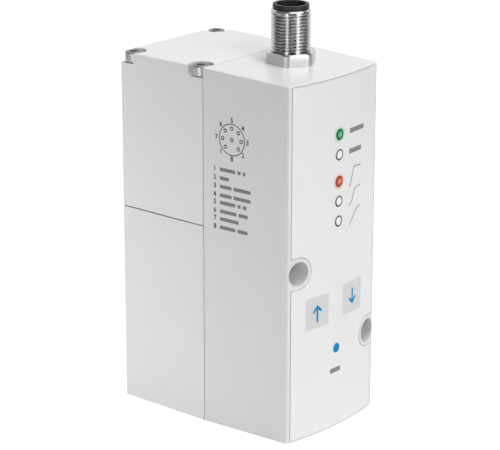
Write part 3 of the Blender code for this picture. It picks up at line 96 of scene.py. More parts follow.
# A pattern whose features are so many millimetres across
def patternScale(size):
    return 1.0 / (size * mm)


def setInputs(tree, node, inputs):
    for socket, value in inputs.items():
        if isinstance(value, bpy.types.NodeSocket):
            tree.links.new(value, node.inputs[socket])
        else:
            node.inputs[socket].default_value = value


def addNode(tree, kind, inputs=None, **settings):
    node = tree.nodes.new(kind)
    for setting, value in settings.items():
        setattr(node, setting, value)
    setInputs(tree, node, inputs or {})
    return node


def newFinish(name):
    finish = bpy.data.materials.new(name)
    finish.use_nodes = True
    finish.node_tree.nodes.clear()
    return finish, finish.node_tree


# Most of a noise lies between its low and its high, which are spread over the look's range of roughness
mottle = {"driftDetail": 2.0, "grainDetail": 4.0, "low": 0.3, "high": 0.7, "edgeSamples": 6}


# What every finish here shares: a slow drift between two tones, a fine grain and an uneven gloss.
# A look without a drift has its colour set by the function that calls this one.
def mottled(name, look, metallic=0.0):
    finish, tree = newFinish(name)
    shader = addNode(tree, "ShaderNodeBsdfPrincipled")
    addNode(tree, "ShaderNodeOutputMaterial", {"Surface": shader.outputs["BSDF"]})
    place = addNode(tree, "ShaderNodeTexCoord").outputs["Object"]
    if "drift" in look:
        drift = addNode(tree, "ShaderNodeTexNoise", {"Vector": place, "Detail": mottle["driftDetail"],
                                                     "Scale": patternScale(look["driftSize"])})
        tone = addNode(tree, "ShaderNodeMix", {0: drift.outputs["Fac"], 6: linear(look["colour"]),
                                               7: linear(look["drift"])}, data_type="RGBA")
        setInputs(tree, shader, {"Base Color": tone.outputs[2]})
    grain = addNode(tree, "ShaderNodeTexNoise", {"Vector": place, "Detail": mottle["grainDetail"],
                                                 "Scale": patternScale(look["grainSize"])})
    gloss = addNode(tree, "ShaderNodeMapRange",
                    {"Value": grain.outputs["Fac"], "From Min": mottle["low"], "From Max": mottle["high"],
                     "To Min": look["roughness"][0], "To Max": look["roughness"][1]})
    bump = addNode(tree, "ShaderNodeBump", {"Height": grain.outputs["Fac"], "Strength": 1.0,
                                            "Distance": look["grainDepth"] * mm})
    setInputs(tree, shader, {"Roughness": gloss.outputs["Result"], "Normal": bump.outputs["Normal"],
                             "Metallic": metallic})
    if "ior" in look:
        shader.inputs["IOR"].default_value = look["ior"]
    if "specular" in look:
        shader.inputs["Specular IOR Level"].default_value = look["specular"]
    if "edge" in look:
        rounding = addNode(tree, "ShaderNodeBevel", {"Radius": look["edge"] * mm},
                           samples=mottle["edgeSamples"])
        tree.links.new(rounding.outputs["Normal"], bump.inputs["Normal"])
    return finish, tree, shader


# Injection moulded ABS, spark-eroded tool: a pale satin skin with a faint grain and softly broken edges.
# The real grain is about 0.1 mm and is drawn twice as coarse so that it shows.
def mouldedAbs(name, colour, drift):
    look = {"colour": colour, "drift": drift, "driftSize": 30.0, "grainSize": 0.2, "grainDepth": 0.004,
            "roughness": (0.3, 0.4), "ior": 1.53, "edge": 0.15}
    return mottled(name, look)[0]


# Powder coat on die-cast aluminium: the same grey, with a low orange peel about a millimetre across
def powderCoat():
    look = {"colour": "#F0F0F0", "drift": "#EBEBEB", "driftSize": 25.0, "grainSize": 0.9,
            "grainDepth": 0.006, "roughness": (0.36, 0.46), "ior": 1.5, "edge": 0.15}
    return mottled("powderCoatedAluminium", look)[0]


filmColour = "#F1F1F1"


# Polyester keypad film with a hard coat: smoother and a little glossier than the housing round it
def keypadFilm():
    look = {"colour": filmColour, "drift": "#EDEDED", "driftSize": 40.0, "grainSize": 0.35,
            "grainDepth": 0.0006, "roughness": (0.28, 0.33), "ior": 1.57}
    return mottled("polyesterKeypadFilm", look)[0]


# Screen printing ink: flat and dull, slightly uneven where the mesh laid it down
def printingInk(name, colour, drift):
    look = {"colour": colour, "drift": drift, "driftSize": 0.6, "grainSize": 0.12, "grainDepth": 0.002,
            "roughness": (0.5, 0.65), "ior": 1.5, "specular": 0.1}
    return mottled(name, look)[0]


# Nickel plated brass, turned: a bright neutral grey with faint rings left by the tool. The real rings are
# about 0.1 mm apart and are drawn nine times as coarse so that they show.
def nickelPlatedBrass():
    look = {"colour": "#C9CACB", "drift": "#BDBEBF", "driftSize": 3.0, "grainSize": 0.4,
            "grainDepth": 0.001, "roughness": (0.14, 0.24), "ringSpacing": 0.9425, "ringWander": 0.4,
            "ringDepth": 0.0008, "ringStrength": 0.5}
    waveScale = patternScale(look["ringSpacing"]) * math.pi / 10  # a wave repeats after pi / 10
    finish, tree, shader = mottled("nickelPlatedBrass", look, metallic=1.0)
    place = addNode(tree, "ShaderNodeTexCoord").outputs["Object"]
    rings = addNode(tree, "ShaderNodeTexWave",
                    {"Vector": place, "Scale": waveScale, "Distortion": look["ringWander"]},
                    bands_direction="Z")
    marks = addNode(tree, "ShaderNodeBump",
                    {"Height": rings.outputs["Fac"], "Strength": look["ringStrength"],
                     "Distance": look["ringDepth"] * mm})
    tree.links.new(marks.outputs["Normal"], shader.inputs["Normal"].links[0].from_node.inputs["Normal"])
    return finish


# Zinc plated steel: cloudy from the bath and bright on its sides, with its upward faces painted darker, a
# painted shade on the tops
def zincPlatedSteel():
    look = {"colour": "#DFE0E1", "drift": "#CDCED0", "driftSize": 1.2, "grainSize": 0.25,
            "grainDepth": 0.002, "roughness": (0.3, 0.42), "edge": 0.08, "topPaintedShade": "#7D7F82",
            "topShadeStart": 0.5, "topShadeFull": 0.9}
    finish, tree, shader = mottled("zincPlatedSteel", look, metallic=1.0)
    # Painted shade: faces that point up are mixed toward a dark grey
    normal = addNode(tree, "ShaderNodeTexCoord").outputs["Normal"]
    facing = addNode(tree, "ShaderNodeSeparateXYZ", {0: normal})
    topShadeMask = addNode(tree, "ShaderNodeMapRange",
                     {"Value": facing.outputs["Z"], "From Min": look["topShadeStart"],
                      "From Max": look["topShadeFull"]})
    tone = addNode(tree, "ShaderNodeMix", {0: topShadeMask.outputs["Result"], 7: linear(look["topPaintedShade"]),
                                           6: shader.inputs["Base Color"].links[0].from_socket},
                   data_type="RGBA")
    tree.links.new(tone.outputs[2], shader.inputs["Base Color"])
    return finish


# Glass-filled nylon, moulded black: matt, with pale flecks of fibre too small to see one by one
def glassFilledNylon(name):
    look = {"colour": "#1C1C1E", "drift": "#262628", "driftSize": 1.0, "grainSize": 0.15,
            "grainDepth": 0.003, "roughness": (0.42, 0.58), "ior": 1.53, "edge": 0.06}
    return mottled(name, look)[0]


# Nitrile rubber, compression moulded: nearly black and dull
def nitrileRubber():
    look = {"colour": "#1A1A1B", "drift": "#232324", "driftSize": 2.0, "grainSize": 0.2,
            "grainDepth": 0.004, "roughness": (0.7, 0.85), "ior": 1.52}
    return mottled("nitrileRubber", look)[0]


# Machined or drawn metal inside the blocks: the tone of the metal and a fine brushed grain
def workedMetal(name, colour, drift, roughness):
    look = {"colour": colour, "drift": drift, "driftSize": 4.0, "grainSize": 0.3, "grainDepth": 0.002,
            "roughness": roughness}
    return mottled(name, look, metallic=1.0)[0]


# Glass fibre laminate under green solder resist, the weave 0.5 mm apart
def glassLaminate():
    look = {"colour": "#14512F", "drift": "#1B5F38", "driftSize": 0.5, "grainSize": 0.5,
            "grainDepth": 0.004, "roughness": (0.3, 0.42), "ior": 1.55}
    return mottled("glassFibreLaminate", look)[0]


# One in the middle of a round piece and nothing towards its rim, as shares of its width
def outwardFade(tree, start, end, middle=0.5):
    place = addNode(tree, "ShaderNodeTexCoord").outputs["Generated"]
    centred = addNode(tree, "ShaderNodeMapping", {"Vector": place, "Location": (-middle, 0.0, -0.5),
                                                  "Scale": (1.0, 0.0, 1.0)})
    spread = addNode(tree, "ShaderNodeVectorMath", {0: centred.outputs["Vector"]}, operation="LENGTH")
    fade = addNode(tree, "ShaderNodeMapRange", {"Value": spread.outputs["Value"], "From Min": start,
                                                "From Max": end, "To Min": 1.0, "To Max": 0.0})
    return fade.outputs["Result"]


# Frosted acrylic light pipe: milky, and bright in its middle where a lamp behind it is lit. Its rim is
# painted darker and its brightest spot moved right of centre, as painted shade and a painted highlight.
def acrylicLens(name, colour, rim, glow):
    look = {"grainSize": 0.3, "grainDepth": 0.001, "roughness": (0.12, 0.2), "ior": 1.49,
            "fadeStart": 0.05, "fadeEnd": 0.27, "middle": 0.57}
    finish, tree, shader = mottled(name, look)
    # The fade's middle sits right of centre: a painted highlight
    fade = outwardFade(tree, look["fadeStart"], look["fadeEnd"], look["middle"])
    tone = addNode(tree, "ShaderNodeMix", {0: fade, 6: linear(rim), 7: linear(colour)}, data_type="RGBA")
    setInputs(tree, shader, {"Base Color": tone.outputs[2], "Emission Color": tone.outputs[2],
                             "Emission Strength": glow})
    return finish


finishes = {
    "housing_plastic": mouldedAbs("mouldedAbsHousing", "#EAEAEA", "#E5E5E5"),
    "pilot_plastic": mouldedAbs("mouldedAbsPilotCover", "#F0F0F0", "#EBEBEB"),
    "valve_paint": powderCoat(),
    "foil": keypadFilm(),
    "seal_rubber": nitrileRubber(),
    "lens_green": acrylicLens("acrylicLensGreen", "#62BE88", "#0B6538", 0.25),
    "lens_red": acrylicLens("acrylicLensRed", "#F0836E", "#A03320", 0.2),
    # The unlit lamps' lenses glow a little as well: painted light
    "lens_clear": acrylicLens("acrylicLensClear", "#FBFBFB", "#F1F1F1", 0.06),
    "black_plastic": glassFilledNylon("mouldedNylonKeys"),
    "insert_plastic": glassFilledNylon("mouldedNylonInsert"),
    "board": glassLaminate(),
    "nickel": nickelPlatedBrass(),
    "gold": workedMetal("goldPlatedBrass", "#E2BC6B", "#D6AC58", (0.16, 0.26)),
    "screw_steel": zincPlatedSteel(),
    "valve_aluminium": workedMetal("turnedAluminium", "#D2D4D6", "#C4C6C9", (0.24, 0.38)),
    "spring_steel": workedMetal("springSteel", "#9FA2A6", "#8C8F93", (0.24, 0.36)),
    "valve_brass": workedMetal("turnedBrass", "#D0AE6C", "#C3A05C", (0.22, 0.34)),
    "armature_steel": workedMetal("magneticSteel", "#A8AAAD", "#96989B", (0.28, 0.4)),
    "coil_copper": workedMetal("enamelledCopper", "#B4683C", "#9E5630", (0.24, 0.36)),
    "sensor_steel": workedMetal("stainlessSteel", "#BDBFC1", "#AEB0B3", (0.2, 0.32)),
}
labelInk = printingInk("inkLabelGrey", "#4C4E51", "#56585B")
wordInk = printingInk("inkWordGrey", "#85878A", "#8E9093")
curveInk = printingInk("inkCurveGrey", "#A2A4A8", "#ABADB1")
ringInk = printingInk("inkRingGrey", "#525457", "#5A5C5F")
ringGreenInk = printingInk("inkRingGreen", "#15633A", "#1A6B41")
ringRedInk = printingInk("inkRingRed", "#A03625", "#AA3E2C")
arrowInk = printingInk("inkArrowBlue", "#008AC6", "#0A92CC")


# Grey screen print of a key's field, whose edge fades into the film over the last tenth of its width
def keyFieldInk():
    look = {"colour": "#D9D9D8", "fade": 0.09, "grainSize": 0.35, "grainDepth": 0.0015,
            "roughness": (0.3, 0.4), "ior": 1.57}
    finish, tree, shader = mottled("inkKeyGrey", look)
    place = addNode(tree, "ShaderNodeTexCoord").outputs["Generated"]
    centred = addNode(tree, "ShaderNodeVectorMath", {0: place, 1: (0.5, 0.5, 0.5)}, operation="SUBTRACT")
    spread = addNode(tree, "ShaderNodeVectorMath", {0: centred.outputs["Vector"]}, operation="ABSOLUTE")
    parts = addNode(tree, "ShaderNodeSeparateXYZ", {0: spread.outputs["Vector"]})
    reach = addNode(tree, "ShaderNodeMath", {0: parts.outputs["X"], 1: parts.outputs["Z"]},
                    operation="MAXIMUM")
    fade = addNode(tree, "ShaderNodeMapRange",
                   {"Value": reach.outputs[0], "From Min": 0.5 - look["fade"], "From Max": 0.5},
                   interpolation_type="SMOOTHSTEP")
    tone = addNode(tree, "ShaderNodeMix", {0: fade.outputs["Result"], 6: linear(look["colour"]),
                                           7: linear(filmColour)}, data_type="RGBA")
    setInputs(tree, shader, {"Base Color": tone.outputs[2]})
    return finish


fieldInk = keyFieldInk()
slotNames = {}
for cadName, cadNode in cadNodes.items():
    for slot in cadNode.material_slots:
        slotNames[cadName] = slot.material.name.split(".")[0]
        slot.material = finishes[slotNames[cadName]]
print("finishes made:", len(bpy.data.materials))


def meshObject(name, form):
    mesh = bpy.data.meshes.new(name)
    form.to_mesh(mesh)
    form.free()
    thing = bpy.data.objects.new(name, mesh)
    bpy.context.scene.collection.objects.link(thing)
    return thing


# Turns a bmesh into a piece that rides on a body, wears a finish and may stand for CAD nodes
def addPiece(name, form, finish, stands=(), body="regulator", sharpAngle=32.0):
    piece = meshObject(name, form)
    mesh = piece.data
    if "custom_normal" in mesh.attributes:
        mesh.attributes.remove(mesh.attributes["custom_normal"])
    mesh.materials.clear()
    mesh.materials.append(finish)
    mesh.shade_smooth()
    mesh.set_sharp_from_angle(angle=math.radians(sharpAngle))
    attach(piece, body)
    if stands:
        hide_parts(*stands)
    return piece


def evenNormals(piece):
    weighting = piece.modifiers.new("evenNormals", "WEIGHTED_NORMAL")
    weighting.keep_sharp = True


# Distances in millimetres within which points become one
welds = {"cad": 0.001, "cut": 0.002, "round": 0.0005}


def weld(form, kind):
    bmesh.ops.remove_doubles(form, verts=form.verts, dist=welds[kind] * mm)


def alignFaces(form):
    bmesh.ops.recalc_face_normals(form, faces=form.faces)


# A box from its lowest to its highest corner
def addBox(form, low, high):
    shape = Matrix.Translation((Vector(low) + Vector(high)) / 2 * mm) @ Matrix.Diagonal(
        (*((Vector(high) - Vector(low)) * mm), 1.0))
    bmesh.ops.transform(form, matrix=shape, verts=bmesh.ops.create_cube(form, size=1.0)["verts"])


# The CAD's round pockets leave a thin post at each corner of the upper block, where the real ones are open
pockets = {"floor": 108.6, "top": 113.0, "reach": 4.0, "blockMiddle": 17.0}


def openCorners(form):
    cutter = bmesh.new()
    for screwName in [name for name in cadNodes if name.startswith("corner_screw")]:
        low, high = (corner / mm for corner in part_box(screwName))
        x, y = (low.x + high.x) / 2, (low.y + high.y) / 2
        outX = x + math.copysign(pockets["reach"], x)
        outY = y + math.copysign(pockets["reach"], y - pockets["blockMiddle"])
        addBox(cutter, (min(x, outX), min(y, outY), pockets["floor"]),
               (max(x, outX), max(y, outY), pockets["top"]))
    block = meshObject("uncut_block", form)
    cutter = meshObject("corner_cutter", cutter)
    opening = block.modifiers.new("opening", "BOOLEAN")
    opening.operation = "DIFFERENCE"
    opening.solver = "EXACT"
    opening.object = cutter
    opened = bmesh.new()
    opened.from_object(block, bpy.context.evaluated_depsgraph_get())
    for thing in (block, cutter):
        bpy.data.objects.remove(thing, do_unlink=True)
    weld(opened, "cut")
    return opened


# The same shape as a CAD node, with its faces welded and its round parts shaded smooth
def smoothed(nodeName):
    form = bmesh.new()
    form.from_mesh(cadNodes[nodeName].data)
    weld(form, "cad")
    if nodeName == "pilot_housing":
        form = openCorners(form)
    slotName = slotNames[nodeName]
    piece = addPiece(nodeName + "_skin", form, finishes[slotName], (nodeName,))
    evenNormals(piece)
    return piece


for shellName in ("electronics_housing", "valve_body", "pilot_housing"):
    smoothed(shellName)
for screwName in [name for name in cadNodes if name.startswith(("corner_screw", "housing_screw"))]:
    smoothed(screwName)
for trimName in ("port_seal_exhaust", "port_seal_supply", "port_seal_outlet", "bottom_plug",
                 "retaining_ring"):
    smoothed(trimName)

# Coil springs: the joint that shortens each, the height of its fixed end and the share of its length kept
springs = {"poppet_spring": ("poppet_open", 20.3, 0.84),
           "pilot_spring_1": ("pilot_valve_1_open", 92.5, 0.84),
           "pilot_spring_2": ("pilot_valve_2_open", 92.5, 0.84)}
for springName, (joint, fixedEnd, kept) in springs.items():
    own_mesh(smoothed(springName))
print("blocks, screws, seals and springs smoothed")

# Rubber lips that close the seams between the blocks, a little way in from the outside. Each is a box
# from corner to corner and ends short of the screws and their pockets.
lips = {"seam": ((-21.2, 0.37, 0.8, -20.7, 0.63, 108.4), (20.7, 0.37, 0.8, 21.2, 0.63, 108.4),
                 (-20.7, 0.37, 0.8, 20.7, 0.63, 1.3), (-14.9, 0.37, 110.7, 14.9, 0.63, 111.2)),
        "split": ((-21.2, 1.4, 63.03, -20.7, 32.9, 63.37), (20.7, 1.4, 63.03, 21.2, 32.9, 63.37),
                  (-20.7, 32.4, 63.03, 20.7, 32.9, 63.37))}
lipEdge = 0.05


def addLips(name):
    form = bmesh.new()
    for ends in lips[name]:
        addBox(form, ends[:3], ends[3:])
    bmesh.ops.bevel(form, geom=form.edges[:], offset=lipEdge * mm, segments=2, affect="EDGES")
    addPiece("lip_" + name, form, finishes["seal_rubber"])


for lipName in lips:
    addLips(lipName)
print("seams sealed")


# Spins a half profile of (radius, height) points about an upright axis
def turned(profile, steps, centre=(0.0, 0.0)):
    form = bmesh.new()
    points = [form.verts.new(Vector((centre[0] + radius, centre[1], height)) * mm)
              for radius, height in profile]
    edges = [form.edges.new(pair) for pair in zip(points, points[1:])]
    bmesh.ops.spin(form, geom=points + edges, axis=(0, 0, 1), cent=Vector((*centre, 0)) * mm,
                   dvec=(0, 0, 0), angle=2 * math.pi, steps=steps, use_merge=True)
    weld(form, "round")
    return form


def pointAt(centre, radius, angle):
    return (centre[0] + radius * math.cos(angle), centre[1] + radius * math.sin(angle))


def arcPoints(centre, radius, start, end, steps):
    angles = [math.radians(start + (end - start) * step / steps) for step in range(steps + 1)]
    return [pointAt(centre, radius, angle) for angle in angles]


def disc(x, z, radius, steps=32):
    return arcPoints((x, z), radius, 0, 360 * (steps - 1) / steps, steps - 1)


# The front panel's bow: from the frame's box and the half width and bulge of its arc
panel = {"halfWidth": 21.0, "bulge": 2.3, "filmBelow": 0.04, "inkBelow": 0.02, "sliceWidth": 1.0,
         "sliceGap": 0.00001}
panelRadius = (panel["halfWidth"] ** 2 + panel["bulge"] ** 2) / (2 * panel["bulge"])
panelFront = cadBox[0].y / mm


def onPanel(x, z, below):
    y = panelFront + panelRadius - math.sqrt(panelRadius ** 2 - x ** 2) + below
    return Vector((x, y, z)) * mm


# The left side's draft: the half width at the blocks, and what it loses from there to the front
side = {"backHalf": 22.0, "draft": 1.0, "depth": 32.0, "inkAbove": 0.02}
sideFront = panelFront + panel["bulge"]


def onSide(back, z, above):
    half = side["backHalf"] - side["draft"] * (1 - back / side["depth"])
    return Vector((-half - above, sideFront + back, z)) * mm


# Fills flat outlines of (across, up) points, slices them to follow a curve, and lays them down
def laidSheet(outlines, place, sliceWidth=None):
    form = bmesh.new()
    for outline in outlines:
        form.faces.new([form.verts.new((*point, 0)) for point in outline])
    form.normal_update()
    bmesh.ops.triangulate(form, faces=form.faces[:])
    if sliceWidth:
        slices(form, sliceWidth)
        bmesh.ops.triangulate(form, faces=form.faces[:])
    for vertex in form.verts:
        vertex.co = place(vertex.co.x, vertex.co.y)
    return form


def slices(form, width):
    low = min(vertex.co.x for vertex in form.verts)
    high = max(vertex.co.x for vertex in form.verts)
    for count in range(math.ceil(low / width), math.floor(high / width) + 1):
        geometry = form.verts[:] + form.edges[:] + form.faces[:]
        bmesh.ops.bisect_plane(form, geom=geometry, dist=panel["sliceGap"],
                               plane_co=(count * width, 0, 0), plane_no=(1, 0, 0))


# The keypad film, cut out round both screw pads and the lamps
film = {"thickness": 0.36, "leftOutset": 0.03, "rightOutset": 0.2, "endOutset": 0.12,
        "notchRadius": 5.04, "notchSteps": 32, "passageX": 16.8, "leftPassage": 53.9,
        "rightPassage": 26.7, "lampRadius": 1.7, "edgeWidth": 0.08, "edgeAngle": 50.0}
lamps = {"power": 93.2, "error": 87.0, "mode_1": 78.8, "mode_2": 72.65, "mode_3": 66.5}
filmLow, filmHigh = (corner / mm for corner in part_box("front_foil"))


def filmOutline():
    radius, steps = film["notchRadius"], film["notchSteps"]
    rightNotch = arcPoints((film["passageX"], film["rightPassage"]), radius, 270, 90, steps)
    leftNotch = arcPoints((-film["passageX"], film["leftPassage"]), radius, 90, -90, steps)
    rightEdge, leftEdge = filmHigh.x + film["rightOutset"], filmLow.x - film["leftOutset"]
    topEdge, bottomEdge = filmHigh.z + film["endOutset"], filmLow.z - film["endOutset"]
    right = [(rightEdge, bottomEdge), (rightEdge, rightNotch[0][1])] + rightNotch
    right += [(rightEdge, rightNotch[-1][1]), (rightEdge, topEdge)]
    left = [(leftEdge, topEdge), (leftEdge, leftNotch[0][1])] + leftNotch
    left += [(leftEdge, leftNotch[-1][1]), (leftEdge, bottomEdge)]
    return right + left


def addFilm():
    form = bmesh.new()
    loops = [filmOutline()] + [disc(0, height, film["lampRadius"]) for height in lamps.values()]
    edges = []
    for loop in loops:
        points = [form.verts.new((*point, 0)) for point in loop]
        edges += [form.edges.new((points[index - 1], points[index])) for index in range(len(points))]
    bmesh.ops.triangle_fill(form, use_beauty=True, edges=edges)
    slices(form, panel["sliceWidth"])
    for vertex in form.verts:
        vertex.co = onPanel(vertex.co.x, vertex.co.y, panel["filmBelow"])
    alignFaces(form)
    if form.faces[0].normal.y > 0:
        bmesh.ops.reverse_faces(form, faces=form.faces)
    piece = addPiece("keypad_film", form, finishes["foil"], ("front_foil",))
    thickness = piece.modifiers.new("thickness", "SOLIDIFY")
    thickness.thickness = film["thickness"] * mm
    thickness.offset = -1
    rounding = piece.modifiers.new("cutEdge", "BEVEL")
    rounding.width = film["edgeWidth"] * mm
    rounding.segments = 2
    rounding.angle_limit = math.radians(film["edgeAngle"])
    evenNormals(piece)


addFilm()
print("keypad film laid")


# A ring as quads between two circles, the inner one moved to the right so the ring is wider on its left, a
# painted shadow
def ringQuads(x, z, inner, outer, steps=48, paintedShadowShift=0.0):
    inside = arcPoints((x + paintedShadowShift, z), inner, 0, 360, steps)
    outside = arcPoints((x, z), outer, 0, 360, steps)
    return [[inside[index], outside[index], outside[index + 1], inside[index + 1]]
            for index in range(steps)]


# A line of even width along a path
def ribbon(path, width):
    sides = []
    for index, point in enumerate(path):
        before = Vector(path[max(index - 1, 0)])
        after = Vector(path[min(index + 1, len(path) - 1)])
        along = (after - before).normalized()
        across = Vector((-along.y, along.x)) * width / 2
        sides.append((Vector(point) + across, Vector(point) - across))
    return [[tuple(a), tuple(b), tuple(d), tuple(c)] for (a, b), (c, d) in zip(sides, sides[1:])]


# A bar with round corners, from its lower left corner
def bar(x, z, length, height, radius):
    corners = ((x + length - radius, z + height - radius, 0), (x + radius, z + height - radius, 90),
               (x + radius, z + radius, 180), (x + length - radius, z + radius, 270))
    return [point for cornerX, cornerZ, start in corners
            for point in arcPoints((cornerX, cornerZ), radius, start, start + 90, 4)]


# A smooth line through a few points
def flowing(points, steps=6):
    knots = [Vector(point) for point in (points[0], *points, points[-1])]
    path = []
    for before, start, end, after in zip(knots, knots[1:], knots[2:], knots[3:]):
        leaving, arriving = start + (end - before) / 6, end - (after - start) / 6
        path += interpolate_bezier(start, leaving, arriving, end, steps)[:-1]
    return path + [knots[-1]]


# An arrow with round ends as one outline about its middle; a negative length points down
def arrowOutline(x, z, length, wing, width):
    half, tip = width / 2, abs(length) / 2
    crotch = tip - half * (1 + math.sqrt(2))
    outline = arcPoints((0, -tip), half, 180, 360, 8) + [(half, crotch)]
    outline += arcPoints((wing, tip - wing), half, 225, 405, 8) + arcPoints((0, tip), half, 45, 135, 4)
    outline += arcPoints((-wing, tip - wing), half, 135, 315, 8) + [(-half, crotch)]
    turn = math.copysign(1.0, length)
    return [(x + across * turn, z + up * turn) for across, up in outline]


def panelPrint(name, outlines, ink, below=panel["inkBelow"]):
    form = laidSheet(outlines, lambda x, z: onPanel(x, z, below), panel["sliceWidth"])
    alignFaces(form)
    return addPiece(name, form, ink)


# Printing on the keypad film, placed by (across, up) of middles and of the bars' lower left corners
keypad = {"fieldSize": (10.9, 11.0), "fieldCorner": 0.5,
          "fields": {"up": (-9.05, 40.1), "down": (7.6, 40.8)},
          "arrows": {"up": (-9.1, 39.6, 4.6), "down": (7.7, 40.9, -4.3)}, "wing": 1.5,
          "lineWidth": 0.8, "dot": (-0.2, 26.3), "dotRadius": 1.55,
          "labels": {"power": (5.0, 92.5, 7.5), "error": (4.8, 86.2, 6.4), "edit": (-3.1, 18.5, 4.9)},
          "labelHeight": 1.5, "labelCorner": 0.3, "curveWidth": 0.46,
          "curves": {"steep": ((4.9, 76.2), (5.5, 76.3), (5.9, 77.0), (7.1, 80.9), (7.5, 81.6),
                               (8.2, 81.8), (11.1, 81.5)),
                     "rounded": ((5.2, 70.0), (6.6, 71.4), (7.2, 73.0), (8.1, 74.6), (9.4, 75.2),
                                 (11.0, 75.2)),
                     "ramp": ((5.6, 63.9), (8.0, 67.1), (9.4, 68.3), (11.0, 68.9))}}


def addKeyPrint(name):
    width, height = keypad["fieldSize"]
    x, z = keypad["fields"][name]
    field = bar(x - width / 2, z - height / 2, width, height, keypad["fieldCorner"])
    panelPrint("key_field_" + name, [field], fieldInk)
    outline = arrowOutline(*keypad["arrows"][name], keypad["wing"], keypad["lineWidth"])
    panelPrint("key_arrow_" + name, [outline], arrowInk, panel["inkBelow"] / 2)


def addPanelPrint():
    for name in keypad["fields"]:
        addKeyPrint(name)
    panelPrint("edit_dot", [disc(*keypad["dot"], keypad["dotRadius"])], arrowInk)
    for name, (x, z, length) in keypad["labels"].items():
        label = bar(x, z, length, keypad["labelHeight"], keypad["labelCorner"])
        panelPrint("label_" + name, [label], wordInk)
    for name, path in keypad["curves"].items():
        panelPrint("response_" + name, ribbon(flowing(path), keypad["curveWidth"]), curveInk)


addPanelPrint()
print("keypad printed")


# Printing on the left side: where each contact of the plug lies, and eight numbered rows
pinPlan = {"centre": (20.9, 91.9), "innerRadius": 4.62, "outerRadius": 4.9, "contactRing": 3.45,
           "contactInner": 0.336, "contactOuter": 0.6533, "contactTurn": 45.0, "numberRing": 5.85,
           "numberHeight": 1.5, "numberWeight": 0.035, "typeSize": 1.4, "rowStart": 27.4,
           "rows": (82.2, 79.5, 76.9, 74.2, 71.9, 69.2, 66.8, 64.2), "wordHeight": 1.1,
           "wordCorner": 0.25, "wordStart": 25.5,
           "wordEnds": ((19.6, 0.8, 17.6, 0.8, 15.8), (22.0,), (21.0, 0.7, 13.9), (21.0, 0.7, 13.9),
                        (19.6, 0.8, 17.6, 0.8, 15.4), (19.2, 0.8, 14.9), (18.4,), (19.6, 0.8, 15.0))}


def addNumber(form, digit, across, up):
    height = pinPlan["numberHeight"]
    text = bpy.data.curves.new("number", "FONT")
    text.body = digit
    text.size = height * pinPlan["typeSize"] * mm
    text.align_x = "CENTER"
    text.align_y = "CENTER"
    text.resolution_u = 3
    text.offset = pinPlan["numberWeight"] * height * mm
    written = bpy.data.objects.new("number", text)
    bpy.context.scene.collection.objects.link(written)
    mesh = bpy.data.meshes.new_from_object(written.evaluated_get(bpy.context.evaluated_depsgraph_get()))
    bpy.data.objects.remove(written, do_unlink=True)
    known = len(form.verts)
    form.from_mesh(mesh)
    form.verts.ensure_lookup_table()
    for vertex in form.verts[known:]:
        vertex.co = onSide(across - vertex.co.x / mm, up + vertex.co.y / mm, side["inkAbove"])
    bpy.data.meshes.remove(mesh)


def addSidePrint():
    centre = pinPlan["centre"]
    outlines = ringQuads(*centre, pinPlan["innerRadius"], pinPlan["outerRadius"])
    angles = [math.radians(pinPlan["contactTurn"] * step - 90) for step in range(8)]
    places = [pointAt(centre, pinPlan["contactRing"], angle) for angle in angles[1:]]
    for place in (*places, centre):
        outlines += ringQuads(*place, pinPlan["contactInner"], pinPlan["contactOuter"], 20)
    form = laidSheet(outlines, lambda back, z: onSide(back, z, side["inkAbove"]))
    addPiece("pin_plan", form, labelInk)

    numbers = bmesh.new()
    for angle, digit in zip(angles, "81765432"):
        addNumber(numbers, digit, *pointAt(centre, pinPlan["numberRing"], angle))
    for digit, up in zip("12345678", pinPlan["rows"]):
        addNumber(numbers, digit, pinPlan["rowStart"], up)
    addPiece("pin_numbers", numbers, labelInk)

    bars = []
    height = pinPlan["wordHeight"]
    for up, ends in zip(pinPlan["rows"], pinPlan["wordEnds"]):
        start = pinPlan["wordStart"]
        for place, gap in zip(ends[::2], (*ends[1::2], 0)):
            bars.append(bar(-start, up - height / 2, start - place, height, pinPlan["wordCorner"]))
            start = place - gap
    form = laidSheet(bars, lambda back, z: onSide(-back, z, side["inkAbove"]))
    addPiece("pin_rows", form, wordInk)


addSidePrint()
print("side printed")


# Lamps: a domed lens on a light pipe, with a printed ring round the hole, made wider on its left as a
# painted shadow
lens = {"radius": 1.42, "dome": 0.12, "domeSteps": 6, "steps": 32, "collarRadius": 2.4,
        "collarStart": 2.6, "collarLength": 0.8, "bezelInner": 1.27, "bezelShift": 0.13,
        "bezelOuter": 1.74, "haloOuter": 2.75,
        "lit": {"power": (ringGreenInk, "#A9DDBD"), "mode_1": (ringRedInk, "#F4B9AC")}}


def addLens(name, height):
    nodeName = "light_pipe_" + name
    low, high = (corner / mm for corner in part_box(nodeName))
    radius, dome = lens["radius"], lens["dome"]
    sphere = (radius ** 2 + dome ** 2) / (2 * dome)
    reach, steps = math.asin(radius / sphere), lens["domeSteps"]
    front = [(sphere * math.sin(reach * step / steps), sphere * (1 - math.cos(reach * step / steps)))
             for step in range(steps + 1)]
    length = high.y - low.y
    collarStart, collarEnd = lens["collarStart"], lens["collarStart"] + lens["collarLength"]
    profile = front + [(radius, collarStart), (lens["collarRadius"], collarStart),
                       (lens["collarRadius"], collarEnd), (radius, collarEnd), (radius, length),
                       (0.0, length)]
    form = turned(profile, lens["steps"])
    stand = Matrix.Translation((0, low.y * mm, height * mm)) @ Matrix.Rotation(math.radians(-90), 4, "X")
    bmesh.ops.transform(form, matrix=stand, verts=form.verts)
    alignFaces(form)
    slotName = slotNames[nodeName]
    addPiece("lens_" + name, form, finishes[slotName], (nodeName,))


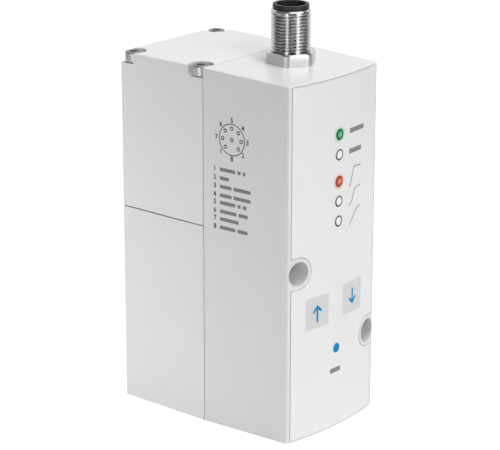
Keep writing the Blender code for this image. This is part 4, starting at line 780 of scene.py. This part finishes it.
# The light that a lit lamp spreads in the film round it, painted into the film's colour
def paintedLampHalo(name, colour):
    look = {"grainSize": 0.35, "grainDepth": 0.0015, "roughness": (0.26, 0.34), "ior": 1.57}
    finish, tree, shader = mottled(name, look)
    fade = outwardFade(tree, lens["bezelOuter"] / lens["haloOuter"] / 2, 0.5)
    tone = addNode(tree, "ShaderNodeMix", {0: fade, 6: linear(filmColour), 7: linear(colour)},
                   data_type="RGBA")
    setInputs(tree, shader, {"Base Color": tone.outputs[2]})
    return finish


def addBezel(name, height):
    ink, halo = lens["lit"].get(name, (ringInk, None))
    # The ring's extra width on its left is a painted shadow of the hole's rim
    ring = ringQuads(0, height, lens["bezelInner"], lens["bezelOuter"], paintedShadowShift=lens["bezelShift"])
    panelPrint("bezel_" + name, ring, ink)
    if halo:
        ring = ringQuads(0, height, lens["bezelOuter"], lens["haloOuter"])
        panelPrint("halo_" + name, ring, paintedLampHalo("litFilm_" + name, halo))


for lampName, lampHeight in lamps.items():
    addLens(lampName, lampHeight)
    addBezel(lampName, lampHeight)
print("lenses set")


# The round plug: the hexagon, the threaded shell, the insert with its collar, and eight contacts
plug = {"hexBelowTop": 16.1, "hexFlats": 14.0, "hexCorner": 7.65, "hexHeight": 3.5, "hexChamfer": 0.45,
        "seatDepth": 0.42, "topHeight": 112.0, "rimInner": 6.8, "rimOuter": 8.0, "rimAbove": 0.005,
        "rimThickness": 0.1, "thread": 6.0, "pitch": 1.0, "threadDepth": 0.4, "crestPower": 1.3,
        "threadStart": 0.15, "fadeIn": 0.4, "fadeOut": 0.6, "plainTop": 0.9, "chamfer": 0.5,
        "boreRadius": 5.2, "stubRadius": 5.6, "threadSunk": 0.2, "rowsPerPitch": 10, "columns": 96,
        "facetSteps": 6, "cornerSteps": 6, "chamferSteps": 6}
shellLow, shellHigh = (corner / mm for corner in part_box("connector_shell"))
insertLow, insertHigh = (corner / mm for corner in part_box("connector_insert"))
plugCentre = ((insertLow.x + insertHigh.x) / 2, (insertLow.y + insertHigh.y) / 2)
hexBottom = shellHigh.z - plug["hexBelowTop"]
roundPlug = [2 * math.pi * step / plug["columns"] for step in range(plug["columns"])]


def threadRadius(height, angle, low, high):
    height = min(height, high)
    phase = (height / plug["pitch"] - angle / (2 * math.pi)) % 1.0
    groove = (0.5 - 0.5 * math.cos(2 * math.pi * phase)) ** plug["crestPower"]
    fade = min(1.0, (height - low) / plug["fadeIn"], (high - height) / plug["fadeOut"])
    return plug["thread"] - plug["threadDepth"] * groove * max(0.0, fade)


def joinRows(form, inner, outer):
    for index in range(len(inner)):
        following = (index + 1) % len(inner)
        form.faces.new((outer[index], outer[following], inner[following], inner[index]))


# Rings of (angle, radius, height) about the plug's axis, each joined to the next
def stacked(form, rings, closed=False):
    rows = [[form.verts.new(Vector((*pointAt(plugCentre, radius, angle), height)) * mm)
             for angle, radius, height in ring] for ring in rings]
    for lower, upper in zip(rows, rows[1:]):
        joinRows(form, upper, lower)
    if closed:
        joinRows(form, rows[0], rows[-1])
    return rows


# A skin whose radius follows a rule of height and angle
def wrapped(form, heights, rule):
    return stacked(form, [[(angle, rule(height, angle), height) for angle in roundPlug]
                          for height in heights])


def addShell():
    low, top = shellLow.z, shellHigh.z
    hexTop = hexBottom + plug["hexHeight"]
    form = bmesh.new()
    threadLow, threadHigh = hexTop + plug["threadStart"], top - plug["plainTop"]
    rowCount = round((threadHigh - threadLow) * plug["rowsPerPitch"] / plug["pitch"])
    rowHeight = (threadHigh - threadLow) / rowCount
    sunk = hexTop - plug["threadSunk"]
    heights = [sunk] + [threadLow + rowHeight * step for step in range(rowCount + 1)]
    thread = wrapped(form, heights + [top - plug["chamfer"]],
                     lambda height, angle: threadRadius(height, angle, threadLow, threadHigh))
    stub = wrapped(form, [low, sunk], lambda height, angle: plug["stubRadius"])
    bore = wrapped(form, [low, top], lambda height, angle: plug["boreRadius"])
    rim = wrapped(form, [top], lambda height, angle: plug["thread"] - plug["chamfer"])[0]
    joinRows(form, stub[-1], thread[0])
    joinRows(form, rim, thread[-1])
    joinRows(form, bore[-1], rim)
    joinRows(form, bore[0], stub[0])
    weld(form, "round")
    alignFaces(form)
    addPiece("threaded_shell", form, finishes["nickel"], ("connector_shell",),
             sharpAngle=28.0)


# One level of the hexagon: six flats, and between them corners turned down to a radius
def hexRing(radius, height):
    apothem = plug["hexFlats"] / 2
    reach = math.acos(apothem / radius)
    points = []
    for facet in range(6):
        middle = facet * math.pi / 3
        for step in range(plug["facetSteps"]):
            turn = reach * (2 * step / plug["facetSteps"] - 1)
            points.append((middle + turn, apothem / math.cos(turn), height))
        for step in range(plug["cornerSteps"]):
            turn = reach + (math.pi / 3 - 2 * reach) * step / plug["cornerSteps"]
            points.append((middle + turn, radius, height))
    return points


def addHexagon():
    low, high = hexBottom - plug["seatDepth"], hexBottom + plug["hexHeight"]
    chamfer, steps = plug["hexChamfer"], plug["chamferSteps"]
    rings = [hexRing(plug["hexCorner"], low)]
    for step in range(steps + 1):
        turnedDown = chamfer * step / steps
        rings.append(hexRing(plug["hexCorner"] - turnedDown, high - chamfer + turnedDown))
    boreEnds = [[(angle, plug["stubRadius"], height) for angle, *_ in rings[0]] for height in (low, high)]
    form = bmesh.new()
    stacked(form, [boreEnds[0]] + rings + [boreEnds[1]], closed=True)
    alignFaces(form)
    addPiece("plug_hexagon", form, finishes["nickel"], sharpAngle=12.0)


# The housing's top closed round the hexagon, level with the slope that the plug stands on
def addSeatRim():
    inner, outer, thickness = plug["rimInner"], plug["rimOuter"], plug["rimThickness"]
    rings = []
    for radius, below in ((outer, 0.0), (inner, 0.0), (inner, thickness), (outer, thickness)):
        rings.append([])
        for angle in roundPlug:
            back = pointAt(plugCentre, radius, angle)[1] - sideFront
            slope = side["draft"] * (1 - back / side["depth"])
            rings[-1].append((angle, radius, plug["topHeight"] + plug["rimAbove"] - slope - below))
    form = bmesh.new()
    stacked(form, rings, closed=True)
    alignFaces(form)
    addPiece("plug_seat_rim", form, finishes["housing_plastic"])


addShell()
addHexagon()
addSeatRim()
print("threaded shell cut and seated")

insert = {"socketRadius": 4.4, "socketDepth": 9.0, "collarRadius": 5.45, "collarHeight": 1.2,
          "bodyRadius": 4.9, "edge": 0.2, "steps": 64, "ribWidth": 1.2, "ribDepth": 0.8,
          "ribSunk": 0.2}
contact = {"domeSteps": 5, "steps": 20}


def addInsert():
    top, bottom = insertHigh.z, insertLow.z
    floor, collarFoot = top - insert["socketDepth"], top - insert["collarHeight"]
    edge, collar = insert["edge"], insert["collarRadius"]
    socket, body = insert["socketRadius"], insert["bodyRadius"]
    profile = [(0.0, floor), (socket, floor), (socket, top - edge)]
    profile += arcPoints((socket + edge, top - edge), edge, 180, 90, 4)[1:]
    profile += arcPoints((collar - edge, top - edge), edge, 90, 0, 4)
    profile += [(collar, collarFoot), (body, collarFoot), (body, bottom), (0.0, bottom)]
    form = turned(profile, insert["steps"], plugCentre)
    x, wall = plugCentre[0], plugCentre[1] + socket
    addBox(form, (x - insert["ribWidth"] / 2, wall - insert["ribDepth"], floor),
           (x + insert["ribWidth"] / 2, wall + insert["ribSunk"], collarFoot))
    alignFaces(form)
    addPiece("contact_insert", form, finishes["insert_plastic"], ("connector_insert",))


def addContact(number):
    nodeName = f"contact_pin_{number}"
    low, high = (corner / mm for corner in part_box(nodeName))
    radius = (high.x - low.x) / 2
    dome = arcPoints((0.0, high.z - radius), radius, 90, 0, contact["domeSteps"])
    form = turned(dome + [(radius, low.z), (0.0, low.z)], contact["steps"],
                  ((low.x + high.x) / 2, (low.y + high.y) / 2))
    alignFaces(form)
    addPiece(f"contact_{number}", form, finishes["gold"], (nodeName,))


addInsert()
for contactNumber in range(1, 9):
    addContact(contactNumber)
print("insert and contacts set")


# The studio: white paper all round, a broad lamp in front, one overhead and smaller ones at the sides
studio = {"ambient": 0.1, "white": "#FFFFFF", "floorSize": 9000.0, "floorBelow": 0.02,
          "floorGlow": 0.88, "floorTone": "#9E9E9E", "paper": "#F4F4F4", "poolPlace": (-95.0, 40.0, 0.0),
          "poolRadius": 190.0, "poolGlow": 0.36, "aim": (0.0, 0.0, 56.0)}
softboxes = {"front_softbox": {"place": (-240.0, -860.0, 580.0), "size": 620.0, "power": 4.85},
             "overhead_softbox": {"place": (60.0, -120.0, 900.0), "size": 500.0, "power": 4.6},
             "back_left_softbox": {"place": (-120.0, 200.0, 70.0), "size": 90.0, "power": 0.15},
             "right_softbox": {"place": (480.0, 90.0, 50.0), "size": 180.0, "power": 1.0}}


# One where the camera, shiny things and clear ones see the paper, and nothing for the light it throws back
def seenPaper(tree):
    path = addNode(tree, "ShaderNodeLightPath")
    mirrored = addNode(tree, "ShaderNodeMath",
                       {0: path.outputs["Is Glossy Ray"], 1: path.outputs["Is Transmission Ray"]},
                       operation="MAXIMUM")
    seen = addNode(tree, "ShaderNodeMath", {0: path.outputs["Is Camera Ray"], 1: mirrored.outputs[0]},
                   operation="MAXIMUM")
    return seen.outputs[0]


# The floor shows as pale paper and throws a pool of light up at the blocks' left side
def addFloor():
    form = bmesh.new()
    bmesh.ops.create_grid(form, x_segments=8, y_segments=8, size=studio["floorSize"] / 2 * mm)
    floor = meshObject("paper_floor", form)
    floor.location.z = -studio["floorBelow"] * mm
    finish, tree = newFinish("paperFloor")
    place = addNode(tree, "ShaderNodeTexCoord").outputs["Object"]
    reach = addNode(tree, "ShaderNodeVectorMath", {0: place, 1: Vector(studio["poolPlace"]) * mm},
                    operation="DISTANCE")
    pool = addNode(tree, "ShaderNodeMapRange",
                   {"Value": reach.outputs["Value"], "From Min": 0.0, "From Max": studio["poolRadius"] * mm,
                    "To Min": studio["poolGlow"], "To Max": 0.0}, interpolation_type="SMOOTHSTEP")
    paper = addNode(tree, "ShaderNodeBsdfDiffuse", {"Color": linear(studio["paper"])})
    lit = addNode(tree, "ShaderNodeEmission", {"Strength": pool.outputs["Result"]})
    sheet = addNode(tree, "ShaderNodeAddShader", {0: paper.outputs[0], 1: lit.outputs[0]})
    shade = addNode(tree, "ShaderNodeBsdfDiffuse", {"Color": linear(studio["floorTone"])})
    glow = addNode(tree, "ShaderNodeEmission", {"Strength": studio["floorGlow"]})
    white = addNode(tree, "ShaderNodeAddShader", {0: shade.outputs[0], 1: glow.outputs[0]})
    mix = addNode(tree, "ShaderNodeMixShader", {0: seenPaper(tree), 1: sheet.outputs[0],
                                                2: white.outputs[0]})
    addNode(tree, "ShaderNodeOutputMaterial", {"Surface": mix.outputs[0]})
    floor.data.materials.append(finish)


def addWorld():
    world = bpy.data.worlds.new("paperRoom")
    world.use_nodes = True
    tree = world.node_tree
    tree.nodes.clear()
    white = linear(studio["white"])
    room = addNode(tree, "ShaderNodeBackground", {"Color": white, "Strength": studio["ambient"]})
    paper = addNode(tree, "ShaderNodeBackground", {"Color": white, "Strength": 1.0})
    mix = addNode(tree, "ShaderNodeMixShader", {0: seenPaper(tree), 1: room.outputs[0],
                                                2: paper.outputs[0]})
    addNode(tree, "ShaderNodeOutputWorld", {"Surface": mix.outputs[0]})
    bpy.context.scene.world = world


def addSoftbox(name, softbox):
    light = bpy.data.lights.new(name, "AREA")
    light.shape = "SQUARE"
    light.size = softbox["size"] * mm
    light.energy = softbox["power"]
    lamp = bpy.data.objects.new(name, light)
    lamp.location = Vector(softbox["place"]) * mm
    aim = Vector(studio["aim"]) * mm - lamp.location
    lamp.rotation_euler = aim.to_track_quat("-Z", "Y").to_euler()
    lamp.visible_glossy = False
    bpy.context.scene.collection.objects.link(lamp)


addFloor()
addWorld()
for softboxName, softbox in softboxes.items():
    addSoftbox(softboxName, softbox)

# Cards that only shiny things see. A wall has its first and last angle to the photograph's right, in
# degrees, then its foot, its top and its glow. A lamp hangs just below the roof.
cards = {"radius": 260.0, "step": 4.0, "roofHeight": 420.0, "roofGlow": 0.2,
         "walls": {"card_left": (-122.0, -27.0, 60.0, 420.0, 0.12),
                   "ledge_left": (-122.0, -27.0, 28.0, 60.0, 0.55),
                   "strip_left": (-27.0, -14.0, 28.0, 420.0, 2.4),
                   "card_middle": (-14.0, 36.0, 60.0, 420.0, 0.03),
                   "ledge_middle": (-14.0, 36.0, 28.0, 60.0, 0.45),
                   "strip_right": (36.0, 51.0, 72.0, 420.0, 3.1),
                   "ledge_right": (36.0, 60.0, 28.0, 72.0, 2.6),
                   "card_near_right": (51.0, 68.0, 72.0, 420.0, 0.33),
                   "card_right": (68.0, 122.0, 28.0, 420.0, 0.14)},
         "roofLamp": {"right": 110.0, "radius": 150.0, "below": 1.0, "glow": 1.6}}


def addCard(name, form, glow):
    card = meshObject(name, form)
    for sight in ("visible_camera", "visible_diffuse", "visible_transmission", "visible_shadow",
                  "visible_volume_scatter"):
        setattr(card, sight, False)
    finish, tree = newFinish(name)
    shine = addNode(tree, "ShaderNodeEmission", {"Strength": glow})
    addNode(tree, "ShaderNodeOutputMaterial", {"Surface": shine.outputs[0]})
    card.data.materials.append(finish)


def cardWall(start, end, foot, top):
    steps = max(1, round((end - start) / cards["step"]))
    form = bmesh.new()
    columns = []
    for step in range(steps + 1):
        turn = math.radians(view["azimuth"] - (start + (end - start) * step / steps))
        place = (-cards["radius"] * math.sin(turn), -cards["radius"] * math.cos(turn))
        columns.append([form.verts.new(Vector((*place, height)) * mm) for height in (foot, top)])
    for left, right in zip(columns, columns[1:]):
        form.faces.new((left[0], right[0], right[1], left[1]))
    return form


def cardRoof(centre, radius, height):
    form = bmesh.new()
    bmesh.ops.create_circle(form, cap_ends=True, segments=48, radius=radius * mm,
                            matrix=Matrix.Translation(Vector((*centre, height)) * mm))
    return form


def addCards():
    for name, (*reach, glow) in cards["walls"].items():
        addCard(name, cardWall(*reach), glow)
    height, lamp = cards["roofHeight"], cards["roofLamp"]
    addCard("card_roof", cardRoof((0, 0), cards["radius"], height), cards["roofGlow"])
    place = pointAt(plugCentre, lamp["right"], -math.radians(view["azimuth"]))
    addCard("roof_lamp", cardRoof(place, lamp["radius"], height - lamp["below"]), lamp["glow"])


# The camera stands at the photograph's angle; offsets slide it across and up in its own plane
view = {"azimuth": 49.89, "elevation": 17.857, "roll": 0.084, "distance": 663.28, "across": 0.602,
        "up": -2.14, "focalPixels": 2150.77, "imageWidth": 500, "sensor": 36.0, "nearest": 10.0,
        "farthest": 20000.0}


def addCamera():
    turn, rise, roll = (math.radians(view[part]) for part in ("azimuth", "elevation", "roll"))
    back = Vector((-math.sin(turn) * math.cos(rise), -math.cos(turn) * math.cos(rise), math.sin(rise)))
    level = Vector((math.cos(turn), -math.sin(turn), 0))
    upright = back.cross(level)
    right = math.cos(roll) * level + math.sin(roll) * upright
    up = math.cos(roll) * upright - math.sin(roll) * level
    place = Vector(studio["aim"]) + view["distance"] * back - view["across"] * right - view["up"] * up
    data = bpy.data.cameras.new("studio_camera")
    data.sensor_width = view["sensor"]
    data.lens = view["focalPixels"] / view["imageWidth"] * view["sensor"]
    data.clip_start = view["nearest"] * mm
    data.clip_end = view["farthest"] * mm
    camera = bpy.data.objects.new("studio_camera", data)
    axes = Matrix((right, up, back)).transposed().to_4x4()
    camera.matrix_world = Matrix.Translation(place * mm) @ axes
    bpy.context.scene.collection.objects.link(camera)
    bpy.context.scene.camera = camera


addCamera()
addCards()
bpy.context.scene.view_settings.view_transform = "Standard"
print("studio set")
